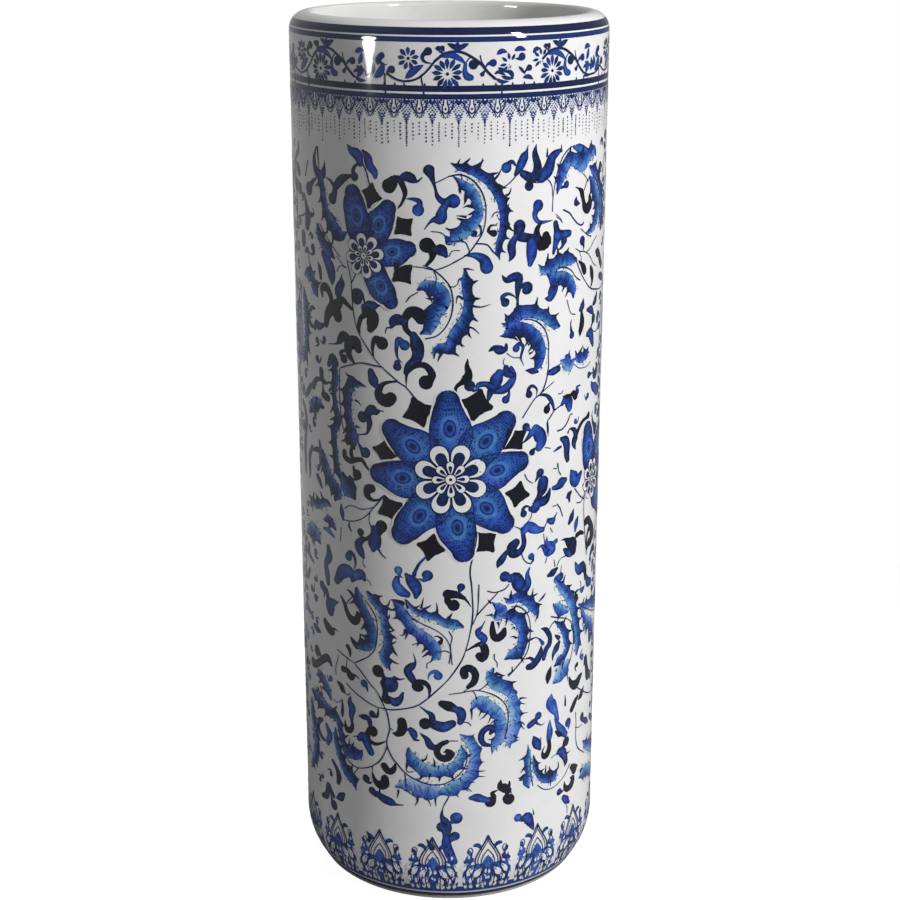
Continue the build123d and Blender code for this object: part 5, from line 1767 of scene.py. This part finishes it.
    (0.06, (77, 172.5, 0.5), (75.5, 169, 2.2), (74.5, 165, 2.7), (74, 161.5, 1.2)),
    (0.30, (66, 196, 0.8), (69, 192, 1.6)),
    (0.12, (65, 224, 0.5), (68.5, 226.5, 0.9), (71, 229, 0.3)),
    (0.20, (28.7, 133, 1.4), (30.5, 136, 2.6), (27, 137.5, 2.4), (23, 134.5, 2.4), (22, 129.5, 2.3),
     (24, 125.5, 1.9), (28, 124, 1.3), (31, 124, 0.8)),
    (0.24, (58.5, 133, 2.4), (63, 135, 2.6), (65, 133, 1), (69, 130.5, 0.5), (72, 131.5, 0.2)),
    (0.28, (62, 124, 0.5), (63.5, 120, 3.2), (66, 116, 3.6), (68, 112.5, 1.2)),
    (0.38, (77, 132, 0.4), (76.5, 127, 2.2), (77, 123, 3), (76.5, 119, 2.8), (76, 115, 1.6)),
    (0.05, (76.5, 116, 1.6), (76.5, 110, 2.3), (74, 106, 2.8), (71.5, 106, 2.4), (70, 109.5, 0.9),
     (72, 113, 0.4)),
    (0.40, (78, 151, 0.8), (77, 146, 4.4), (79.5, 141, 4.4), (83, 135, 2.4), (84, 130, 2.5)),
    (0.28, (82, 131, 1), (86, 124, 2.8), (90, 119, 3.6), (94, 115, 2.6)),
    (0.06, (83, 121, 1), (87, 117.5, 2.2), (90, 116, 1)),
    (0.28, (84, 103, 0.5), (87, 104, 3), (91, 102, 4), (94, 97, 3), (95, 93, 2.4), (94, 90.5, 0.8)),
    (0.12, (92.5, 146, 0.3), (93, 142, 0.9), (93, 138, 1.2)),
    (0.24, (51.5, 93, 1), (54.5, 94.5, 2.8), (57, 92, 2)),
    (0.32, (15, 85, 1.6), (19, 85, 3.2), (23, 83.5, 2.8), (27, 82, 2)),
    (0.05, (36.5, 96, 0.5), (36, 92, 2.6), (38.5, 90, 3.4), (42, 87, 2.8)),
    (0.08, (42, 89, 2), (43, 92, 1.2), (43, 94.5, 0.3)),
    (0.24, (53, 62, 2), (57.5, 62, 4.4), (61, 56, 2.8), (63, 51.5, 1)),
    (0.12, (62.3, 67.5, 0.3), (63.3, 63, 0.7)),
    (0.05, (94, 78, 0.3), (94.5, 73.5, 2), (98, 70.5, 2.6), (103, 71.5, 3.2), (105, 76, 2.8),
     (102, 77.5, 1)),
    (0.28, (93, 65.5, 2.2), (97, 62, 3.2), (100, 59, 1.4)),
    (0.06, (103, 86, 2.2), (107, 83, 3.8), (111, 83, 1.4)),
    (0.38, (100, 196, 2), (104, 190, 3), (103, 183, 2)),
    (0.08, (97, 157.5, 1), (100, 152, 2.6), (106, 149, 4), (112, 152, 3), (116, 154, 0.8)),
    (0.06, (101.5, 131.5, 2.6), (106, 136, 2.6), (110, 138.5, 1.2)),
    (0.08, (111, 135.5, 1), (116, 138, 3.2), (120, 142, 0.6)),
    (0.10, (120, 159, 1.2), (122, 163.5, 2.8), (125, 155, 3), (128, 148, 4.4), (133, 146, 3),
     (135, 142, 0.8)),
    (0.20, (120, 116, 1.6), (127, 112, 2.7), (132, 109, 0.8)),
    (0.20, (136, 112, 2), (142, 108, 2.8), (148, 104, 1.4)),
    (0.14, (137, 160, 2), (142, 158, 2.8), (148, 160, 1)),
    (0.12, (-136, 220, 1), (-129, 224, 2.6), (-124, 230, 1.6)),
    (0.24, (-140, 195, 2), (-134, 199, 3.6), (-127, 197, 2.4)),
    (0.14, (-144, 150, 1), (-138, 155, 3), (-131, 156, 2)),
    # where the two halves of the painting meet
    (0.10, (-143, 356, 1), (-147, 348, 3), (-144, 342, 2)),
    (0.28, (-148, 262, 2), (-142, 268, 3.6), (-136, 268, 1.4)),
    (0.26, (-142, 440, 1.4), (-146, 432, 3.4), (-144, 424, 2.4)),
]

# Thorns and spikes of the pen, from root to tip
THORNS = [
    ((-98, 529), (-97, 520), (-96, 512)), ((-93, 514), (-91, 517), (-90, 521)),
    ((5, 523), (6, 525), (7, 527)), ((18, 519), (19.5, 522), (21, 527)),
    ((28, 513), (31, 516), (33.5, 520.5)), ((36, 503), (38.5, 504), (40, 508)),
    ((36.5, 494), (37.5, 495.5), (38.5, 498)), ((36, 486), (38, 486), (39.5, 484)),
    ((6, 511), (7, 508), (7.5, 505)), ((11, 507), (10, 504), (9.5, 500)),
    ((14, 497.5), (11, 497.5), (8.5, 496)), ((11, 490.5), (8, 491), (4.5, 491.5)),
    ((66, 525), (66, 528), (66, 531)), ((78, 527), (78, 529), (78, 532)),
    ((9, 438), (5.5, 440), (4.5, 435)), ((13, 434), (20, 432.5), (27, 434)),
    ((10, 420), (15, 419), (19.5, 415)), ((4, 411), (7, 409), (10, 407)),
    ((1, 403), (4, 402), (6, 401)), ((53, 405), (55, 406), (56, 409)),
    ((54, 399), (56, 399.5), (58, 401)), ((9, 457), (12, 457.5), (16, 456.5)),
    ((-66, 366), (-63, 365), (-60.5, 362.5)), ((-66, 348), (-64, 348), (-61.5, 347.5)),
    ((-45, 224), (-42, 226), (-40.5, 230)), ((-42.5, 216), (-41.5, 217), (-41, 219.5)),
    ((-42, 207), (-40, 207), (-37.5, 209)), ((-40, 198), (-38, 199), (-36, 200.5)),
    ((-36, 224), (-38, 223.5), (-40.5, 222)), ((-33, 219), (-35, 218.5), (-36.5, 217)),
    ((-30, 210), (-31, 206), (-34, 205)), ((-19, 226), (-18, 230), (-17, 234)),
    ((-8, 223), (-8, 227), (-8.5, 231)), ((-28, 225), (-29, 229), (-30, 233)),
    ((33, 215), (34, 213), (34, 210)), ((40, 217), (39.5, 214), (39, 211)),
    ((59, 229), (59.5, 232), (60, 235)), ((64, 214), (63, 212), (61.5, 209.5)),
    ((46, 208.5), (45, 209), (43, 208)), ((47, 201), (45, 202.5), (42, 202.5)),
    ((-19, 113), (-16, 115), (-15, 119)), ((-10, 109), (-10, 113), (-11, 116)),
    ((-13, 104), (-13.5, 102), (-14, 98.5)), ((-36, 89), (-36, 86), (-37, 82)),
    ((-22, 85), (-22, 82), (-24, 78)), ((-9.5, 86), (-9.5, 83), (-9, 79)),
    ((18, 105), (22, 105), (25.5, 105)), ((12, 98), (15, 97.5), (18, 96.5)),
    ((9, 94), (11, 92.5), (13.5, 90)), ((50, 155), (52, 155.5), (56, 154.5)),
    ((50, 144), (52, 143), (54.5, 144)), ((49, 138), (53, 136.5), (54.5, 134)),
    ((46, 129), (48, 126.5), (50.5, 126)), ((15, 153), (15.5, 149), (15.5, 144.5)),
    ((27, 150), (24.5, 146.5), (21, 144)), ((34, 142.5), (31, 142), (28, 139.5)),
    ((-77, 112), (-76.5, 115), (-76, 118.5)), ((73, 92), (73.5, 95), (73.5, 98.5)),
    ((78, 86), (78.5, 83), (78.5, 80)), ((85.5, 91), (86.5, 93), (86, 97)),
    ((29.5, 221), (27, 220.5), (24.5, 220.5)), ((28.5, 229), (27.5, 230), (26, 232)),
    ((-109, 349), (-110, 345), (-112, 342)),
]


# Groups that the painter repeats where the halves meet: the box they come from (low across, low up,
# high across, high up), where its middle goes, and whether they are mirrored
ECHOES = [
    ((-24, 396, 18, 460), (167, 486), False),
    ((-24, 396, 18, 460), (166, 392), True),
    ((28, 236, 62, 276), (166, 236), False),
    ((28, 106, 60, 184), (167, 140), True),
    ((-14, 462, 10, 500), (172, 345), True),
]


# ---------------------------------------------------------------- the field is painted, twice round

# The brush darkens up the field: by how much, from what height, and over what height
DARKENING = 0.13
DARKENS_FROM = 240
DARKENS_OVER = 150
# Room that a shoot, a curl and a whole sprig need from the paint round them
SHOOT_ROOM = 5.0
CURL_ROOM = 7
SPRIG_ROOM = 10.5
# Curls and sprigs: how many places are tried, how far they keep from the front line, and their heights
SCATTER_TRIES = 1400
SCATTER_FROM = 98
SCATTER_HEIGHTS = (72, 528)
# A shoot's bud, from its head to the stem, and its leaf: places beside the stem and along it
SHOOT_BUD = [(8.2, 1.2), (8.6, 4.6), (5.2, 4.4), (1.8, 1.6), (0, 0)]
SHOOT_LEAF = [(0, 0), (2.2, -2.6), (7.0, -5.0)]


def darkening(up):
    """How much darker the brush was in the upper half of the field."""
    return DARKENING * min(1.0, max(0.0, (up - DARKENS_FROM) / DARKENS_OVER))


def uneven(tone, up):
    """Tones along one stroke of the brush: blues pool and thin, black stays black."""
    if tone < 0.12:
        return [tone - 0.02] * 2
    middle = tone + 0.05 - darkening(up)
    return [max(0.15, middle + chance.uniform(-0.12, 0.10)) for _ in range(4)]


def echoed(motifs):
    """The motifs, and again those of them that lie in an echo's box, moved to its new place."""
    found = list(motifs)
    for (left, low, right, high), (across, up), mirrored in ECHOES:
        flip = -1 if mirrored else 1
        for motif in motifs:
            marks, rows = split_motif(motif)
            if all(left <= row[0] <= right and low <= row[1] <= high for row in rows):
                moved = [(across + flip * (x - (left + right) / 2), up + z - (low + high) / 2, *rest)
                         for x, z, *rest in rows]
                found.append((*marks, *moved))
    return found


def room_at(place, taken):
    """Distance from a place to the nearest paint, all round the wall."""
    return min(np.hypot(*(taken - place - (turn, 0)).T).min() for turn in (-PERIOD, 0, PERIOD))


def shoot(films, root, heading, aside, size):
    """A curled bud and often a leaf behind it, growing from a stem; gives the places that it takes."""
    bud = [root + size * (away * aside + ahead * heading) for away, ahead in SHOOT_BUD]
    comma(films["body"], 3.0 * size, bud, uneven(chance.choice((0.03, 0.2, 0.3, 0.4)), root[1]), dome=0.1)
    blade = [root + size * (away * aside + ahead * heading) for away, ahead in SHOOT_LEAF]
    if chance.random() < 0.75:
        tone = chance.choice((0.16, 0.28, 0.4))
        leaf(films["body"], 2.3 * size, blade, uneven(tone, root[1]), belly=0.55)
    return bud + blade


def runner(films, path, taken):
    """A long stem with buds and leaves that leave it on alternate sides wherever there is room."""
    fine = smooth_run(path, 1.4)
    heading = unit(np.gradient(fine, axis=0))
    stroke(films["line"], [(*place, 0.52) for place in path], 0.16, 0.05)
    side, at, grown = 1, 4, [fine]
    while at < len(fine) - 4:
        side = -side
        aside = side * np.array([-heading[at, 1], heading[at, 0]])
        size = chance.uniform(0.8, 1.15)
        if room_at(fine[at] + 8 * size * aside, taken) > SHOOT_ROOM:
            grown.append(np.array(shoot(films, fine[at], heading[at], aside, size)))
            at += chance.randint(5, 8)
        else:
            at += 3
    return np.vstack([taken, *grown])


# Stems that wander where the two halves meet, each as (across, up)
RUNNERS = [
    [(150, 318), (143, 340), (137, 365), (139, 400), (146, 428), (160, 440), (178, 444), (192, 456),
     (199, 480), (197, 505), (188, 522)],
    [(205, 432), (196, 420), (193, 395), (196, 365), (194, 335), (186, 310), (172, 292), (160, 282)],
    [(140, 262), (136, 240), (140, 215), (150, 202), (166, 198), (182, 192), (192, 175), (195, 150),
     (192, 125), (180, 104), (165, 92), (150, 88)],
    [(196, 262), (200, 240), (196, 215), (186, 203)],
    [(140, 182), (137, 160), (140, 135), (148, 112)],
    [(138, 470), (134, 495), (140, 518), (152, 527)],
]


def sprig(films, spot, gap, up):
    """A curl of the brush; where there is room, a leaf and a tendril grow from it."""
    way = facing(chance.uniform(0, 2 * math.pi))
    aside = np.array([-way[1], way[0]]) * chance.choice((-1, 1))
    tone = chance.choice((0.04, 0.2, 0.3, 0.42))
    size = min(1.0, gap / 12)
    curl = [spot + size * (7 * way + 3 * aside), spot + size * (7.5 * way - aside),
            spot + size * (3 * way - 1.5 * aside), spot]
    comma(films["body"], 3.1 * size, curl, uneven(tone, up), dome=0.1)
    if gap > SPRIG_ROOM:
        path = [spot, spot - 3.5 * way + 2.2 * aside, spot - 8 * way + 0.8 * aside]
        leaf(films["body"], 2.2, path, uneven(chance.choice((0.2, 0.3, 0.4)), up), belly=0.4)
        line(films["line"], [spot, spot - 2 * way - 3 * aside, spot - way - 7 * aside], 0.16, 0.36)
        return curl + path
    return curl


def scatter(films):
    """Curls and sprigs that fill the gaps towards the sides of the field."""
    runs = [rows for _, *rows in STROKES] + [rows for _, _, *rows in FRONDS]
    runs += [path for _, _, *path in COMMAS] + [path for _, *path in STEMS]
    taken = np.vstack([smooth_run(rows, 3.0)[:, :2] for rows in runs])
    hearts = [(*heart, 1.1 * petals[0][1]) for heart, _, _, _, petals in FLOWERS]
    for path in RUNNERS:
        taken = runner(films, path, taken)
    for _ in range(SCATTER_TRIES):
        across = chance.uniform(SCATTER_FROM, PERIOD - SCATTER_FROM)
        across -= PERIOD if across > PERIOD / 2 else 0
        up = chance.uniform(*SCATTER_HEIGHTS)
        spot = np.array([across, up])
        gap = room_at(spot, taken)
        if gap < CURL_ROOM or any(math.hypot(across - x, up - z) < reach for x, z, reach in hearts):
            continue
        taken = np.vstack([taken, sprig(films, spot, gap, up)])


FIELD_LAYERS = {"wash": WASH_PAINT, "body": PAINT, "line": FLAT_PAINT, "eyes": WASH_PAINT,
                "dot": FLAT_PAINT, "white": RESERVE, "over": FLAT_PAINT, "top": RESERVE,
                "spot": FLAT_PAINT}
field = {layer: Film(layer, material) for layer, material in FIELD_LAYERS.items()}
STROKES, COMMAS, FRONDS, STEMS, THORNS = map(echoed, (STROKES, COMMAS, FRONDS, STEMS, THORNS))
for tone, *rows in STROKES:
    stroke(field["body"], rows, uneven(tone, rows[0][1]), dome=0.13)
for tone, size, *path in COMMAS:
    comma(field["body"], size, path, uneven(tone, path[0][1]), dome=0.13)
for tone, side, *rows in FRONDS:
    Frond(field, tone - darkening(rows[0][1]) + chance.uniform(-0.05, 0.03), side, rows)
for half, *path in STEMS:
    stroke(field["line"], [(*place, half * chance.uniform(0.7, 1.1)) for place in path], 0.16, 0.05)
for path in THORNS:
    thorn(field["line"], list(path))
for across, up, degrees, size in OGEES:
    ogee(field["line"], across, up, degrees, size)
for heart, size, count, phase, petals in FLOWERS:
    for degrees, length, width, bend in petals:
        petal(field, heart, degrees, length, width, bend)
    rosette(field, heart, size, count, phase)
scatter(field)
for half_name, half_shift in HALVES:
    for layer, film in field.items():
        film.build(f"field_{layer}_{half_name}", half_shift)


# ---------------------------------------------------------------- light, floor, camera

# The viewpoint, in metres and degrees: before the stand, above the floor, aside, and looking down;
# the lens and its film in millimetres
CAMERA_AWAY = 1.2394
CAMERA_HEIGHT = 0.69195
CAMERA_ASIDE = 0.00056
CAMERA_DIP = 17.352
CAMERA_LENS = 73.0
CAMERA_SENSOR = 36.0
# Light from all round, the floor's reach in metres, its white, and its glow to the camera
FILL = 0.315
FLOOR_REACH = 3.0
FLOOR_WHITE = 0.22
FLOOR_GLOW = 0.94
# From where to where, away from the stand, the floor fades into plain white
FLOOR_FADE = (0.2, 0.75)
# The pale sweep of the studio: the way it lies, the span of facing it, and its dim and pale levels
SWEEP_WAY = (-0.85, 0.5, 0.0)
SWEEP_SPAN = (-0.6, 0.95)
SWEEP_LEVELS = (0.10, 0.44)


def make_camera():
    """The photograph's viewpoint: a little above the rim, looking down at the stand."""
    data = bpy.data.cameras.new("camera")
    data.lens = CAMERA_LENS
    data.sensor_width = CAMERA_SENSOR
    camera = new_object("camera", data)
    camera.location = (CAMERA_ASIDE, -CAMERA_AWAY, CAMERA_HEIGHT)
    camera.rotation_euler = (math.radians(90 - CAMERA_DIP), 0, 0)
    bpy.context.scene.camera = camera


def area_lamp(name, azimuth, elevation, away, size, power, target=(0, 0, 0.3)):
    """A soft rectangular lamp that faces the stand; azimuth 0 is in front, 90 is to the right."""
    data = bpy.data.lights.new(name, "AREA")
    data.shape = "RECTANGLE"
    data.size, data.size_y = size
    data.energy = power
    lamp = new_object(name, data)
    turn, rise = math.radians(azimuth), math.radians(elevation)
    out = Vector((math.sin(turn) * math.cos(rise), -math.cos(turn) * math.cos(rise), math.sin(rise)))
    lamp.location = Vector(target) + out * away
    lamp.rotation_mode = "QUATERNION"
    lamp.rotation_quaternion = (-out).to_track_quat("-Z", "Y")
    return lamp


def pale_sweep(nodes, links, place):
    """How bright the studio looks in a reflection: dim in front of the stand, pale behind it."""
    kind = "ShaderNodeVectorMath"
    level = calculation(nodes, links, kind, "MULTIPLY", place, (1.0, 1.0, 0.0))
    heading = calculation(nodes, links, kind, "NORMALIZE", level.outputs["Vector"])
    toward = calculation(nodes, links, kind, "DOT_PRODUCT", heading.outputs["Vector"], SWEEP_WAY)
    return remap(nodes, links, toward.outputs["Value"], *SWEEP_SPAN, *SWEEP_LEVELS, smooth=True)


def make_world():
    """White to the camera; a pale sweep behind the stand for reflections; a low even fill."""
    world = bpy.data.worlds.new("studio")
    bpy.context.scene.world = world
    world.use_nodes = True
    nodes, links = world.node_tree.nodes, world.node_tree.links
    back = nodes["Background"]
    path = nodes.new("ShaderNodeLightPath")
    place = nodes.new("ShaderNodeTexCoord")
    glossy = nodes.new("ShaderNodeMix")
    glossy.inputs["A"].default_value = FILL
    links.new(path.outputs["Is Glossy Ray"], glossy.inputs["Factor"])
    links.new(pale_sweep(nodes, links, place.outputs["Generated"]), glossy.inputs["B"])
    seen = nodes.new("ShaderNodeMix")
    seen.inputs["B"].default_value = 1.0
    links.new(path.outputs["Is Camera Ray"], seen.inputs["Factor"])
    links.new(glossy.outputs["Result"], seen.inputs["A"])
    links.new(seen.outputs["Result"], back.inputs["Strength"])
    back.inputs["Color"].default_value = (1, 1, 1, 1)


def make_floor():
    """A plain white floor that keeps a soft shadow near the stand and turns to plain white away."""
    mesh = bpy.data.meshes.new("floor")
    corners = [(x * FLOOR_REACH, y * FLOOR_REACH, 0) for x, y in ((-1, -1), (1, -1), (1, 1), (-1, 1))]
    mesh.from_pydata(corners, [], [(0, 1, 2, 3)])
    floor = new_object("floor", mesh)
    material, nodes, links, shader = new_material("floor")
    shader.inputs["Base Color"].default_value = (FLOOR_WHITE, FLOOR_WHITE, FLOOR_WHITE, 1)
    shader.inputs["Roughness"].default_value = 0.9
    shader.inputs["Specular IOR Level"].default_value = 0.1
    path = nodes.new("ShaderNodeLightPath")
    place = nodes.new("ShaderNodeTexCoord").outputs["Object"]
    shader.inputs["Emission Color"].default_value = (1, 1, 1, 1)
    glow = multiply(nodes, links, path.outputs["Is Camera Ray"], FLOOR_GLOW)
    links.new(glow, shader.inputs["Emission Strength"])
    away = calculation(nodes, links, "ShaderNodeVectorMath", "LENGTH", place)
    fade = remap(nodes, links, away.outputs["Value"], *FLOOR_FADE, 0, 1, smooth=True)
    far = nodes.new("ShaderNodeEmission")
    mirrored = multiply(nodes, links, path.outputs["Is Glossy Ray"], pale_sweep(nodes, links, place))
    links.new(add(nodes, links, path.outputs["Is Camera Ray"], mirrored), far.inputs["Strength"])
    blend = nodes.new("ShaderNodeMixShader")
    links.new(fade, blend.inputs[0])
    links.new(shader.outputs[0], blend.inputs[1])
    links.new(far.outputs[0], blend.inputs[2])
    links.new(blend.outputs[0], nodes["Material Output"].inputs["Surface"])
    mesh.materials.append(material)


make_camera()
make_world()
make_floor()
area_lamp("key", azimuth=51, elevation=26, away=2.6, size=(0.26, 1.2), power=64)
for name, azimuth, power in (("back_right", 142, 28), ("back_left", -165, 16)):
    lamp = area_lamp(name, azimuth, elevation=18, away=2.4, size=(1.0, 1.4), power=power)
    lamp.visible_glossy = False
wedge = area_lamp("strip", azimuth=-56, elevation=0, away=1.6, size=(0.32, 0.42), power=11,
                  target=(0, 0, 0.64))
wedge.visible_diffuse = False
wedge.data.shape = "ELLIPSE"

view_settings = bpy.context.scene.view_settings
view_settings.view_transform = "Standard"
